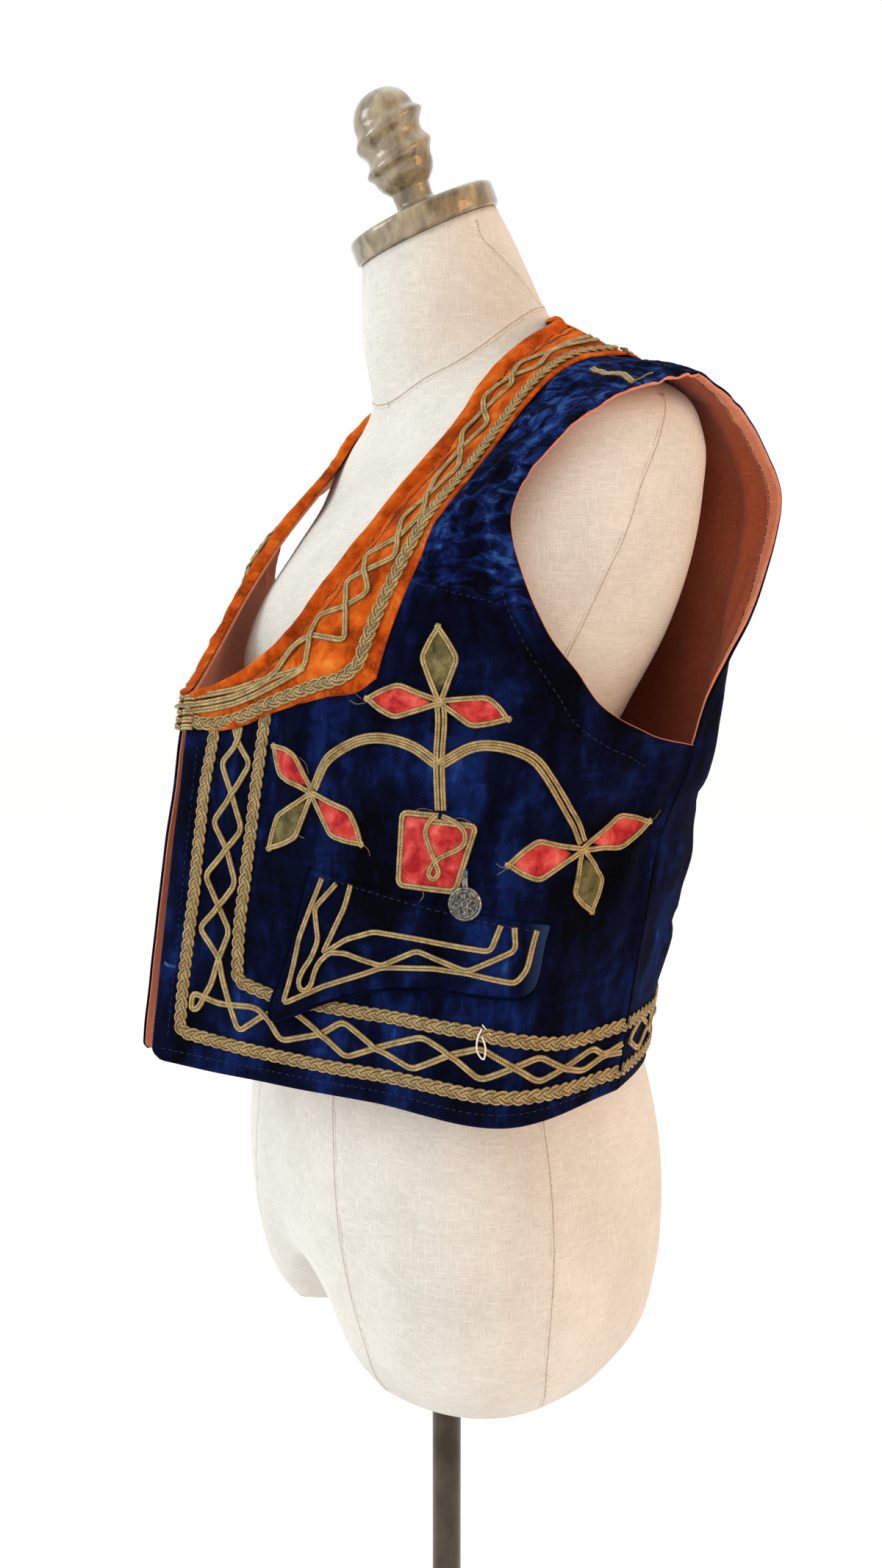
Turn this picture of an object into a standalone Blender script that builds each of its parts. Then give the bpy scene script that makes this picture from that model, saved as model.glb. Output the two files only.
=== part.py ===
"""Embroidered folk vest on a limbless dress form with a turned cap and a pole stand.

Metres, +Z up, the floor at z = 0 under the pole. The form faces -Y and the wearer's left is +X.
The cloth is cut as flat pattern pieces: a place on a front or on the back is (across, up) in
millimetres, across from the centre line and up from the hem, and the section tables say where
that place lies in the air when the vest is worn.
"""
import math

import bmesh
import bpy
import numpy as np
from mathutils import Vector
from mathutils.bvhtree import BVHTree

MM = 0.001
SEAM_GAP = 0.3                 # between pieces that meet at a seam or lie on each other, mm
LAY_GAP = 0.4                  # under what is laid on a panel, mm
LINING_THICK = 1.0
VELVET_THICK = 1.6
COLLAR_THICK = 1.6
FLAP_THICK = 2.0
PATCH_THICK = 1.2
BRAID_THICK = 2.0
CORD_THICK = 1.5
BRAID_WIDE = 9.0
CORD_WIDE = 4.0
FORM_CLEAR = 0.7               # least gap between the lining and the form
BRAID_CLEAR = 0.7              # least gap between a cord and the braid beside it

LAY_REACH = 0.03               # how far off a panel's first surface its ground is looked for

POLE_RADIUS = 0.0113
POLE_BOTTOM = 0.0115
BASE_RADIUS = 0.160
BASE_PLATE = 0.009
BASE_COLLAR_RADIUS = 0.026
BASE_COLLAR_TOP = 0.034
POLE_BEHIND = 10.0             # the pole's axis lies this far behind y = 0 of the section tables, mm
NECK_TILT = math.radians(27.0)
NECK_CENTRE = (0.0, -0.016, 1.207)
CAP_RADIUS = 0.0530
CAP_THICK = 0.0165
BASE_ROUND = 0.002
BASE_SLOPE = 0.012
BASE_STEPS, CAP_STEPS, POLE_STEPS, FINIAL_STEPS = 32, 32, 24, 18

COLLECTION = "folk_vest_on_form"

# --------------------------------------------------------------------------- tables of sections
# Torso of the form. Heights and half axes in mm; tilt in degrees, the ring's back higher.
FORM_SECTIONS = (
    # height, half_width, front, middle, back, squareness in front, squareness behind, tilt
    (418, 140, -93, 2, 124, 2.35, 2.35, 0),
    (440, 154, -107, -2, 142, 2.40, 2.40, 0),
    (475, 163, -117, -6, 151, 2.45, 2.45, 0),
    (520, 167, -123, -10, 155, 2.45, 2.45, 0),
    (575, 165, -124, -10, 152, 2.40, 2.40, 0),
    (635, 156, -119, -6, 138, 2.30, 2.30, 0),
    (700, 138, -106, 0, 112, 2.20, 2.20, 0),
    (765, 124, -89, 5, 86, 2.10, 2.10, 0),
    (825, 126, -99, 8, 88, 2.10, 2.10, 1),
    (880, 143, -107, 20, 107, 2.15, 2.40, 2),
    (930, 158, -111, 36, 125, 2.20, 2.80, 4),
    (975, 168, -104, 48, 132, 2.30, 3.00, 5),
    (1015, 173, -79, 54, 133, 2.35, 3.10, 7),
    (1050, 173, -51, 56, 131, 2.40, 3.10, 9),
    (1076, 163, -40, 54, 121, 2.35, 2.80, 11),
    (1094, 136, -37, 50, 110, 2.20, 2.40, 14),
    (1109, 104, -37, 46, 101, 2.10, 2.15, 17),
    (1123, 77, -40, 42, 93, 2.05, 2.05, 20),
    (1142, 61, -47, 33, 82, 2.00, 2.00, 22),
    (1165, 55, -52, 14, 68, 2.00, 2.00, 25),
    (1190, 51, -52, 1, 52, 2.00, 2.00, 27),
    (1207, 50, -51, -6, 39, 2.00, 2.00, 27),
)
BUST = {"height": 905, "spread": 82, "rise": 22, "radius": 62, "falling": 1.6}
LEG_NOTCH = {"depth": 14, "reach": 100, "half_width": 68, "rise": 62}
# Rings under the lowest section: (share of its size, drop below it), outermost first.
THIGH_UNDERSIDE = ((0.93, 3), (0.80, 8), (0.62, 13), (0.40, 17), (0.20, 17))
# Ring heights, close together where the form turns fast: (from, to, how many).
FORM_RINGS = ((418, 540, 5), (585, 1045, 12), (1065, 1140, 6), (1160, 1207, 3))
FORM_AROUND = 36
FORM_CROWDING = 0.35           # 0 spaces a ring's points evenly; more crowds them in front and behind

# The fronts as worn (the wearer's left; the right is its mirror). Five places across each section.
FRONT_ACROSS = (0, 75, 150, 235, 315)
FRONT_SECTIONS = (
    # up, then x, y, z of the places over the edge, breast, side front, flank and side seam
    (0, 7, -220, 661, 61, -170, 653, 118, -121, 648, 186, -72, 645, 194, 3, 654),
    (55, 7, -213, 715, 62, -166, 709, 119, -120, 705, 185, -68, 705, 194, 13, 711),
    (102, 6, -206, 762, 61, -162, 757, 119, -118, 754, 184, -61, 754, 193, 24, 757),
    (150, 5, -199, 809, 60, -160, 806, 118, -118, 804, 182, -52, 804, 192, 37, 806),
    (203, 4, -191, 861, 59, -157, 859, 117, -117, 857, 179, -40, 857, 190, 66, 860),
    (248, 2, -182, 905, 58, -150, 904, 116, -113, 902, 176, -30, 900, 192, 60, 905),
    (300, 0, -160, 950, 57, -127, 953, 116, -100, 952, 166, -45, 950, 188, 40, 950),
    (342, 0, -132, 990, 60, -98, 992, 120, -84, 991, 160, -52, 992, 186, 30, 990),
    (386, 0, -104, 1026, 63, -66, 1032, 122, -47, 1031, 164, -36, 1026, 190, 0, 1020),
    (430, 0, -70, 1060, 68, -31, 1069, 126, -12, 1066, 172, 2, 1061, 200, 20, 1050),
    (474, 10, -30, 1098, 71, 6, 1108, 128, 22, 1094, 181, 38, 1077, 208, 48, 1062),
    (518, 20, 20, 1158, 72, 46, 1139, 128, 58, 1106, 184, 68, 1085, 216, 74, 1069),
)

# The back as worn, from the centre line to the wearer's left.
BACK_ACROSS = (0, 85, 160, 215, 252)
BACK_SECTIONS = (
    # up, then x, y, z of the places over the centre, blade, side back, corner and side seam
    (0, 0, 126, 655, 84, 112, 655, 148, 70, 655, 178, 34, 655, 194, 3, 656),
    (55, 0, 124, 711, 84, 113, 711, 148, 76, 711, 178, 42, 711, 194, 13, 711),
    (102, 0, 124, 757, 84, 115, 757, 148, 84, 757, 179, 52, 757, 193, 24, 757),
    (150, 0, 126, 806, 84, 120, 806, 148, 94, 806, 181, 66, 806, 192, 37, 806),
    (203, 0, 131, 860, 84, 129, 860, 152, 112, 860, 186, 90, 860, 190, 66, 860),
    (255, 0, 134, 912, 84, 134, 912, 152, 124, 912, 188, 106, 912, 200, 90, 912),
    (305, 0, 136, 962, 84, 138, 962, 152, 133, 962, 191, 122, 962, 212, 112, 962),
    (355, 0, 135, 1012, 84, 138, 1011, 150, 138, 1012, 191, 137, 1014, 214, 134, 1014),
    (395, 0, 131, 1052, 82, 135, 1050, 144, 132, 1046, 190, 125, 1040, 214, 122, 1038),
    (435, 0, 120, 1090, 80, 120, 1088, 138, 112, 1078, 189, 104, 1062, 214, 102, 1058),
    (475, 0, 104, 1124, 76, 92, 1113, 132, 88, 1093, 187, 86, 1074, 214, 84, 1067),
    (515, 0, 84, 1152, 72, 46, 1139, 128, 58, 1106, 184, 68, 1085, 214, 74, 1069),
)

# Profiles of the turned resin pieces, (radius, height over the foot) in metres, top to bottom.
CAP_PROFILE = ((0, CAP_THICK), (CAP_RADIUS - 0.0022, CAP_THICK), (CAP_RADIUS, CAP_THICK - 0.0020),
               (CAP_RADIUS, 0.0016), (CAP_RADIUS - 0.0014, 0), (0, 0))
# The finial's dome, its two ridges, bowl, stem and foot.
FINIAL_PROFILE = ((0, 0.0740), (0.0095, 0.0728), (0.0180, 0.0685), (0.0228, 0.0620), (0.0240, 0.0555),
                  (0.0228, 0.0510), (0.0246, 0.0482), (0.0256, 0.0452), (0.0240, 0.0422), (0.0236, 0.0400),
                  (0.0262, 0.0370), (0.0276, 0.0340), (0.0260, 0.0306), (0.0238, 0.0280), (0.0246, 0.0244),
                  (0.0234, 0.0204), (0.0192, 0.0166), (0.0156, 0.0138), (0.0144, 0.0096), (0.0148, 0.0056),
                  (0.0178, 0.0040), (0.0182, 0.0010), (0.0174, 0), (0, 0))

# Edges of the pattern pieces, (across, up) in mm.
HOOK_UP = 233
NECKLINE = ((0, HOOK_UP), (17, 237), (36, 244), (55, 255), (72, 271), (85, 305), (93, 340), (96, 378),
            (92, 426), (84, 474), (82, 518))
UNDERARM_UP = 203
FRONT_ARMHOLE = ((315, UNDERARM_UP), (297, 208), (279, 217), (256, 235), (241, 262), (236, 298), (234, 340),
                 (237, 390), (243, 435), (244, 478), (240, 518))
BACK_NECKLINE = ((0, 497), (30, 499), (60, 506), (86, 515))
BACK_ARMHOLE = ((252, UNDERARM_UP), (236, 235), (226, 270), (220, 310), (218, 355), (218, 395),
                (219, 435), (221, 475), (223, 515))

# Collar: its outer edge from the hook to its corner, and from there to the shoulder seam.
COLLAR_LOWER_EDGE = ((3, 213), (22, 211), (44, 213), (79, 225), (117, 235), (140, 240), (148, 247))
COLLAR_OUTER_EDGE = ((148, 247), (151, 270), (156, 300), (163, 330), (167, 362), (160, 392),
                     (151, 422), (147, 452), (151, 485), (158, 518))
BACK_COLLAR_EDGE = ((0, 443), (40, 444), (90, 449), (130, 462), (152, 485), (160, 515))
COLLAR_CORNER_SHARE = 0.33     # share of the neckline that lies between the hook and the collar's corner
COLLAR_BRAID_AT = 0.83         # share of the collar's width, from the neckline
COLLAR_ROWS = 20
COLLAR_END_DROP = 1.5          # the back collar's ends stay this far short of the front's, mm

# Braid round the border: centre lines on a front, from the collar to the side seam.
OUTER_BRAID_DOWN = ((27, 207), (23, 170), (21, 110), (19, 60), (19, 22))
OUTER_BRAID_HEM = ((19, 22), (70, 19), (120, 18), (215, 18), (278, 14), (314.6, 12))
INNER_BRAID_DOWN = ((70, 219), (66, 179), (59, 123), (56, 91), (57, 60))
INNER_BRAID_HEM = ((57, 60), (81, 55), (120, 54), (168, 53), (213, 51), (242, 46), (265, 41), (292, 39),
                   (314.6, 39))
OUTER_BRAID_STEPS, INNER_BRAID_STEPS = (13, 26), (11, 22)      # down the front edge, and along the hem
LONG_BRAID_STEPS, SHORT_BRAID_STEPS = 38, 26
BACK_OUTER_BRAID = ((251.6, 12), (200, 13), (100, 15), (0, 15))
BACK_INNER_BRAID = ((251.6, 39), (200, 40), (100, 42), (0, 42))

# Two cords that cross between the braids: each row is a crossing and the two bends after it,
# (cross_across, cross_up, one_across, one_up, other_across, other_up).
DOWN_LATTICE = ((49, 205, 36, 192, 61, 193), (47, 173, 32, 155, 57, 152), (44, 139, 28, 121, 56, 118),
                (40, 103, 27, 88, 51, 89))
CORNER_CORD = ((43, 72), (37, 52), (29, 43), (40, 46), (53, 44), (70, 44))
CORNER_TURN = ((43, 72), (46.5, 60), (53, 44), (60, 29))
HEM_LATTICE = ((78, 43, 89, 28, 97, 50), (116, 37, 132, 23, 130, 47), (152, 34, 175, 25, 182, 46),
               (199, 38, 217, 26, 217, 44), (237, 33, 253, 21, 253, 38), (270, 26, 284, 20, 290, 32))
HEM_LATTICE_END = (299, 25)
BACK_LATTICE = {"start": 246, "up": 28, "swing": 9.5, "half_turns": 14}
COLLAR_CORDS_FOOT = ((12, 224), (44, 228))
COLLAR_LATTICE = ((73, 245, 83, 264, 98, 251), (95, 271, 95, 283, 124, 268), (116, 289, 106, 305, 130, 298),
                  (119, 311, 111, 321, 141, 320), (136, 332, 127, 344, 147, 345),
                  (137, 357, 126, 372, 143, 376), (126, 392, 110, 407, 130, 412),
                  (114, 423, 103, 433, 121, 442), (112, 451, 104, 463, 126, 462))
COLLAR_LATTICE_END = (118, 478)
BACK_COLLAR_LATTICE = {"start": 124, "up": 481, "sink": 13, "swing": 9, "half_turns": 8}

# Flowers in a pot: every leaf is a kite from its base to its tip.
LEAVES = (
    # name, base_across, base_up, tip_across, tip_up, width, cloth
    ("top", 180, 239, 179, 278, 17, "olive"),
    ("upper_inner", 178, 234, 145, 235, 19, "red"),
    ("upper_outer", 184, 234, 212, 225, 18, "red"),
    ("inner_high", 105, 182, 78, 204, 18, "red"),
    ("inner_low", 105, 174, 77, 143, 18, "olive"),
    ("inner_side", 112, 175, 141, 151, 20, "red"),
    ("outer_side", 257, 147, 223, 142, 22, "red"),
    ("outer_high", 268, 151, 299, 160, 20, "red"),
    ("outer_low", 265, 144, 276, 113, 19, "olive"),
)
POT = ((166, 170.5), (204, 163.5), (196, 127), (164, 129))
STEM = ((182, 229), (184, 198), (186, 172))
INNER_BRANCH = ((184, 198), (169, 209), (152, 213), (131, 207), (118, 195), (110, 181.5))
OUTER_BRANCH = ((184, 198), (201, 209), (224, 204), (244, 179), (255, 163), (261.5, 152.5))
STEM_WIDE = 7.0

FLAP_TOP = ((106, 134), (178, 121), (249, 109))
FLAP_BOTTOM = ((82, 40), (120, 58), (151, 68), (188, 73), (221, 71), (245, 69))
FLAP_OUTER_CORD = ((116, 129), (101, 93), (94, 54), (119, 67), (156, 82), (188, 85), (207, 84), (233, 79),
                   (238, 86), (241, 107))
FLAP_INNER_CORD = ((135, 127), (131, 113), (117, 85), (133, 96), (150, 102), (180, 100), (218, 96),
                   (222, 110))
FLAP_WAVE = ((126, 128), (111, 112), (117, 85), (130, 87), (156, 82), (178, 94), (207, 84), (231, 97),
             (229, 109))
FLAP_LOOP = ((117, 85), (104, 66))

COIN_CENTRE = (202, 121)
COIN = {"radius": 9.8, "thick": 1.8, "shank_wide": 3.0, "shank_top": 18.5, "points": 28}
SHOULDER_BAR = ((172, 468), (236, 455))
HOOK = {"across": 7.5, "up": 224, "off": 8.5, "bow": 2.2, "thread": 1.1}


# --------------------------------------------------------------------------- curves and surfaces
def smooth(knots, values, at, one_each=False):
    """Cubic curve through the values at the knots, carried on straight past both ends.

    With one_each, the second axis of the values holds one curve for each place asked for."""
    knots = np.asarray(knots, float)
    values = np.asarray(values, float)
    at = np.asarray(at, float)
    steps = np.diff(knots)
    to_axes = (-1,) + (1,) * (values.ndim - 1)
    slopes = np.diff(values, axis=0) / steps.reshape(to_axes)
    before, after = steps[:-1].reshape(to_axes), steps[1:].reshape(to_axes)
    middle = (slopes[:-1] * after + slopes[1:] * before) / (before + after)
    tangents = np.concatenate([slopes[:1], middle, slopes[-1:]])
    inside = np.clip(at, knots[0], knots[-1])
    k = np.clip(np.searchsorted(knots, inside, side="right") - 1, 0, len(steps) - 1)
    if one_each:
        curve = np.arange(len(k))
        low, high = values[k, curve], values[k + 1, curve]
        low_tangent, high_tangent = tangents[k, curve], tangents[k + 1, curve]
    else:
        low, high, low_tangent, high_tangent = values[k], values[k + 1], tangents[k], tangents[k + 1]
    wide = at.shape + (1,) * (low.ndim - at.ndim)
    step = steps[k].reshape(wide)
    t = ((inside - knots[k]) / steps[k]).reshape(wide)
    over = (at - inside).reshape(wide)
    ends = np.where(over > 0, tangents[-1], tangents[0])
    return (low * (1 + 2 * t) * (1 - t) ** 2 + low_tangent * step * t * (1 - t) ** 2
            + high * t * t * (3 - 2 * t) + high_tangent * step * t * t * (t - 1) + ends * over)


def along(outline, count):
    """Places spaced evenly along a smooth curve through the outline's points."""
    outline = np.asarray(outline, float)
    lengths = np.concatenate([[0], np.cumsum(np.linalg.norm(np.diff(outline, axis=0), axis=1))])
    fine = smooth(lengths, outline, np.linspace(0, lengths[-1], 40 * len(outline)))
    run = np.concatenate([[0], np.cumsum(np.linalg.norm(np.diff(fine, axis=0), axis=1))])
    wanted = np.linspace(0, run[-1], count)
    return np.stack([np.interp(wanted, run, fine[:, axis]) for axis in range(fine.shape[1])], axis=1)


def worn(sections, stations, places):
    """Where (across, up) places of a pattern piece lie in the air, in metres."""
    table = np.asarray(sections, float)
    places = np.asarray(places, float)
    flat = places.reshape(-1, 2)
    rows = smooth(table[:, 0], table[:, 1:].reshape(len(table), len(stations), 3), flat[:, 1])
    found = smooth(stations, rows.transpose(1, 0, 2), flat[:, 0], one_each=True)
    return (found.reshape(places.shape[:-1] + (3,)) - (0, POLE_BEHIND, 0)) * MM


def front_place(places):
    return worn(FRONT_SECTIONS, FRONT_ACROSS, places)


def back_place(places):
    """As front_place, for the back: a negative across is the wearer's right."""
    places = np.asarray(places, float)
    right = np.sign(places[..., 0])
    found = worn(BACK_SECTIONS, BACK_ACROSS, np.stack([np.abs(places[..., 0]), places[..., 1]], axis=-1))
    found[..., 0] *= np.where(right < 0, -1, 1)
    return found


def ruled(inner, outer, columns):
    """A grid of pattern places between two edges that have the same number of points."""
    t = np.linspace(0, 1, columns + 1)[None, :, None]
    return inner[:, None, :] * (1 - t) + outer[:, None, :] * t


def facing(place, places, step=0.5):
    """Outward directions of the worn cloth at the given places."""
    places = np.asarray(places, float)
    across = place(places + (step, 0)) - place(places - (step, 0))
    up = place(places + (0, step)) - place(places - (0, step))
    normals = np.cross(across, up)
    normals /= np.linalg.norm(normals, axis=-1, keepdims=True)
    return normals if place is front_place else -normals


# --------------------------------------------------------------------------- meshes
def grid_faces(rows, columns):
    """Quads of a grid of points stored row by row."""
    corner = (np.arange(rows)[:, None] * (columns + 1) + np.arange(columns)[None, :]).ravel()
    return np.stack([corner, corner + 1, corner + columns + 2, corner + columns + 1], axis=1).tolist()


def triangles(places, faces):
    """The same faces as triangles, each quad cut along its shorter diagonal."""
    cut = []
    for face in faces:
        first = face[0]
        if len(face) == 4:
            one, other = (math.dist(places[face[k]], places[face[k + 2]]) for k in (0, 1))
            face = face[1:] + [first] if one > other else face
        cut += [[face[0], face[k], face[k + 1]] for k in range(1, len(face) - 1)]
    return cut


def point_normals(points, faces):
    """Unit normals of a surface at its points, each face weighted by its angle there."""
    normals = np.zeros_like(points)
    for face in faces:
        ring = points[face]
        ahead = np.roll(ring, -1, axis=0) - ring
        behind = np.roll(ring, 1, axis=0) - ring
        flat = np.cross(ring, np.roll(ring, -1, axis=0)).sum(axis=0)
        flat /= max(np.linalg.norm(flat), 1e-15)
        spread = (ahead * behind).sum(axis=1)
        spread /= np.maximum(np.linalg.norm(ahead, axis=1) * np.linalg.norm(behind, axis=1), 1e-15)
        normals[face] += np.arccos(np.clip(spread, -1, 1))[:, None] * flat
    return normals / np.maximum(np.linalg.norm(normals, axis=1, keepdims=True), 1e-12)


def ground_of(*surfaces):
    """One search tree over the outer faces of (points, faces) surfaces."""
    points, faces = [], []
    for surface_points, surface_faces in surfaces:
        start = len(points)
        points += [tuple(point) for point in surface_points]
        faces += [[start + corner for corner in face] for face in surface_faces]
    return BVHTree.FromPolygons(points, faces)


def face_samples(faces, steps=5):
    """Corner lists and weights of a fine set of spots over every triangle."""
    weights = [np.array((a, b, steps - a - b)) / steps
               for a in range(steps + 1) for b in range(steps + 1 - a)]
    return [(face, weight) for face in faces for weight in weights]


def keep_clear(points, faces, ground, gap, rounds=30):
    """Push points outward until every face lies at least the gap (mm) above the ground."""
    points = points.copy()
    least = gap * MM
    samples = face_samples(faces)
    for _ in range(rounds):
        push = np.zeros_like(points)
        worst = 0.0
        for corners, weights in samples:
            middle = Vector(weights @ points[corners])
            spot, normal, _, distance = ground.find_nearest(middle)
            short = least - (distance if (middle - spot).dot(normal) >= 0 else -distance)
            if short > 1e-7:
                worst = max(worst, short)
                for corner, weight in zip(corners, weights):
                    if weight > 0 and short > np.linalg.norm(push[corner]):
                        push[corner] = np.array(normal) * short
        points += push
        if worst < 1e-6:
            break
    return points


def lie(place, places, faces, ground, gap):
    """Points of a piece that lies on the ground at the given pattern places, a gap (mm) above it."""
    base = place(places)
    normals = facing(place, places)
    points = np.empty_like(base)
    for index, (point, normal) in enumerate(zip(base, normals)):
        start = Vector(point + normal * LAY_REACH)
        spot, _, _, _ = ground.ray_cast(start, Vector(-normal), 2 * LAY_REACH)
        points[index] = (spot if spot is not None else Vector(point)) + Vector(normal) * gap * MM
    return keep_clear(points, faces, ground, gap)


def material(name, colour, roughness, metallic=0.0, sheen=0.0):
    finish = bpy.data.materials.new(name)
    finish.use_nodes = True
    shader = finish.node_tree.nodes["Principled BSDF"]
    linear = [(channel / 255) ** 2.2 for channel in bytes.fromhex(colour)]
    shader.inputs["Base Color"].default_value = (*linear, 1)
    shader.inputs["Roughness"].default_value = roughness
    shader.inputs["Metallic"].default_value = metallic
    shader.inputs["Sheen Weight"].default_value = sheen
    finish.diffuse_color = shader.inputs["Base Color"].default_value
    return finish


class Model:
    """The collection that the pieces go in, and the surfaces that later pieces lie on."""

    def __init__(self):
        self.collection = bpy.data.collections.new(COLLECTION)
        bpy.context.scene.collection.children.link(self.collection)
        self.tops = {}

    def add(self, name, mesh, finish):
        piece = bpy.data.objects.new(name, mesh)
        mesh.materials.append(finish)
        self.collection.objects.link(piece)
        return piece

    def sheet(self, name, points, faces, thick, finish):
        """A piece of cloth, braid or cord: an open surface thickened outward (mm)."""
        mesh = bpy.data.meshes.new(name)
        mesh.from_pydata([tuple(point) for point in points], [], faces)
        mesh.update()
        piece = self.add(name, mesh, finish)
        wall = piece.modifiers.new("wall", "SOLIDIFY")
        wall.thickness = thick * MM
        wall.offset = 1.0
        self.tops[name] = (points + point_normals(points, faces) * thick * MM, faces)
        return piece


def mirrored(points, faces):
    return points * (-1, 1, 1), [face[::-1] for face in faces]


def pair(model, name, points, faces, thick, finish):
    """The same piece on the wearer's left and right."""
    model.sheet(f"{name}_left", points, faces, thick, finish)
    model.sheet(f"{name}_right", *mirrored(points, faces), thick, finish)


# --------------------------------------------------------------------------- form and stand
def form_ring(section, count):
    """One closed ring of the torso: a squared oval with its own front, middle and back."""
    height, half_width, front, middle, back, square_front, square_back, tilt = section
    angle = np.arange(count) * 2 * math.pi / count
    angle = angle - FORM_CROWDING * np.sin(2 * angle) / 2 - math.pi / 2
    power = 2 / np.where(np.sin(angle) < 0, square_front, square_back)
    side = np.sign(np.cos(angle)) * np.abs(np.cos(angle)) ** power
    depth = np.sign(np.sin(angle)) * np.abs(np.sin(angle)) ** power
    x = half_width * side
    y = middle + np.where(depth < 0, middle - front, back - middle) * depth
    z = height + math.tan(math.radians(tilt)) * (y - middle)
    return np.stack([x, y, z], axis=1)


def between_legs(x):
    """How much of the notch between the legs there is at x: 1 on the centre line, 0 past its half width."""
    return 0.5 + 0.5 * np.cos(math.pi * np.clip(np.abs(x) / LEG_NOTCH["half_width"], 0, 1))


def form_relief(ring):
    """The bust, and the notch between the legs."""
    x, y, z = ring.T
    forward = np.clip(-y / BUST["radius"], 0, 1)
    for side in (-1, 1):
        apart = ((x - side * BUST["spread"]) ** 2 + (z - BUST["height"]) ** 2) / BUST["radius"] ** 2
        y = y - BUST["rise"] * forward * np.exp(-apart * BUST["falling"])
    below = np.clip(1 - (z - FORM_SECTIONS[0][0]) / LEG_NOTCH["reach"], 0, 1) ** 1.5
    split = between_legs(x) * below
    y = y - np.sign(y) * LEG_NOTCH["depth"] * split
    return np.stack([x, y - POLE_BEHIND, z + LEG_NOTCH["rise"] * split], axis=1)


def form_rings(around):
    """The torso's rings in mm, from the middle of its underside up to the neck."""
    table = np.asarray(FORM_SECTIONS, float)
    heights = np.concatenate([np.linspace(*stretch) for stretch in FORM_RINGS])
    rings = [form_relief(form_ring(smooth(table[:, 0], table, height), around)) for height in heights]
    under = []
    for share, drop in THIGH_UNDERSIDE:
        x, y = rings[0][:, 0] * share, (rings[0][:, 1] + POLE_BEHIND) * share - POLE_BEHIND
        z = FORM_SECTIONS[0][0] - drop + LEG_NOTCH["rise"] * between_legs(x)
        under.append(np.stack([x, y, z], axis=1))
    return under[::-1] + rings


def build_form(model, finish, around=FORM_AROUND):
    rings = form_rings(around)
    mesh = bmesh.new()
    loops = [[mesh.verts.new(point * MM) for point in ring] for ring in rings]
    for low, high in zip(loops, loops[1:]):
        for k in range(around):
            mesh.faces.new((low[k], low[(k + 1) % around], high[(k + 1) % around], high[k]))
    bottom = mesh.verts.new(np.array((0, -POLE_BEHIND, rings[0][:, 2].max())) * MM)
    for k in range(around):
        mesh.faces.new((loops[0][(k + 1) % around], loops[0][k], bottom))
    mesh.faces.new(loops[-1])
    bmesh.ops.triangulate(mesh, faces=mesh.faces[:])
    bmesh.ops.recalc_face_normals(mesh, faces=mesh.faces[:])
    data = bpy.data.meshes.new("form_body")
    mesh.to_mesh(data)
    mesh.free()
    data.shade_smooth()
    return model.add("form_body", data, finish)


def turned(model, name, profile, steps, finish, place=(0, 0, 0), tilt=0.0):
    """A turned solid: a profile of (radius, height) in metres, top to bottom, spun round its axis."""
    mesh = bpy.data.meshes.new(name)
    points = [(radius, 0, height) for radius, height in profile]
    mesh.from_pydata(points, [(k, k + 1) for k in range(len(points) - 1)], [])
    piece = model.add(name, mesh, finish)
    spin = piece.modifiers.new("turned", "SCREW")
    spin.steps = steps
    spin.render_steps = steps
    spin.use_merge_vertices = True
    spin.merge_threshold = 0.00005
    spin.use_smooth_shade = True
    piece.location = place
    piece.rotation_euler = (tilt, 0, 0)
    return piece


def build_stand(model, under_form, metal, resin):
    gap = SEAM_GAP * MM
    socket = POLE_RADIUS + gap
    base_profile = ((0, POLE_BOTTOM - gap), (socket, POLE_BOTTOM - gap), (socket, BASE_COLLAR_TOP),
                    (BASE_COLLAR_RADIUS - BASE_ROUND, BASE_COLLAR_TOP),
                    (BASE_COLLAR_RADIUS, BASE_COLLAR_TOP - BASE_ROUND),
                    (BASE_COLLAR_RADIUS, BASE_PLATE + BASE_ROUND),
                    (BASE_RADIUS - BASE_SLOPE, BASE_PLATE),
                    (BASE_RADIUS - BASE_ROUND, BASE_PLATE - BASE_ROUND / 2),
                    (BASE_RADIUS, BASE_PLATE / 3), (BASE_RADIUS - BASE_ROUND, 0), (0, 0))
    pole_profile = ((0, under_form), (POLE_RADIUS, under_form), (POLE_RADIUS, POLE_BOTTOM), (0, POLE_BOTTOM))
    turned(model, "stand_base", base_profile, BASE_STEPS, metal)
    turned(model, "stand_pole", pole_profile, POLE_STEPS, metal)
    lift = Vector((0, -math.sin(NECK_TILT), math.cos(NECK_TILT)))
    cap_foot = Vector(NECK_CENTRE) + lift * gap
    finial_foot = cap_foot + lift * (CAP_THICK + gap)
    turned(model, "neck_cap", CAP_PROFILE, CAP_STEPS, resin, cap_foot, NECK_TILT)
    turned(model, "neck_finial", FINIAL_PROFILE, FINIAL_STEPS, resin, finial_foot, NECK_TILT)


# --------------------------------------------------------------------------- the vest
SIDE_ROWS = 7                  # grid rows up the side seam
UPPER_ROWS = 10                # and from the underarm to the shoulder
FRONT_COLUMNS_ACROSS = 8
BACK_SHOULDER_COLUMNS = 4
BACK_NECK_COLUMNS = 4


def joined(lower, upper, lower_count, upper_count):
    """An edge in two stretches that keeps the corner between them."""
    return np.concatenate([along(lower, lower_count + 1), along(upper, upper_count + 1)[1:]])


def front_grid():
    inner = joined(((0, 0), (0, HOOK_UP)), NECKLINE, SIDE_ROWS, UPPER_ROWS)
    outer = joined(((315, 0), (315, UNDERARM_UP)), FRONT_ARMHOLE, SIDE_ROWS, UPPER_ROWS)
    outer[:SIDE_ROWS + 1, 0] -= SEAM_GAP / 2
    return ruled(inner, outer, FRONT_COLUMNS_ACROSS)


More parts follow.
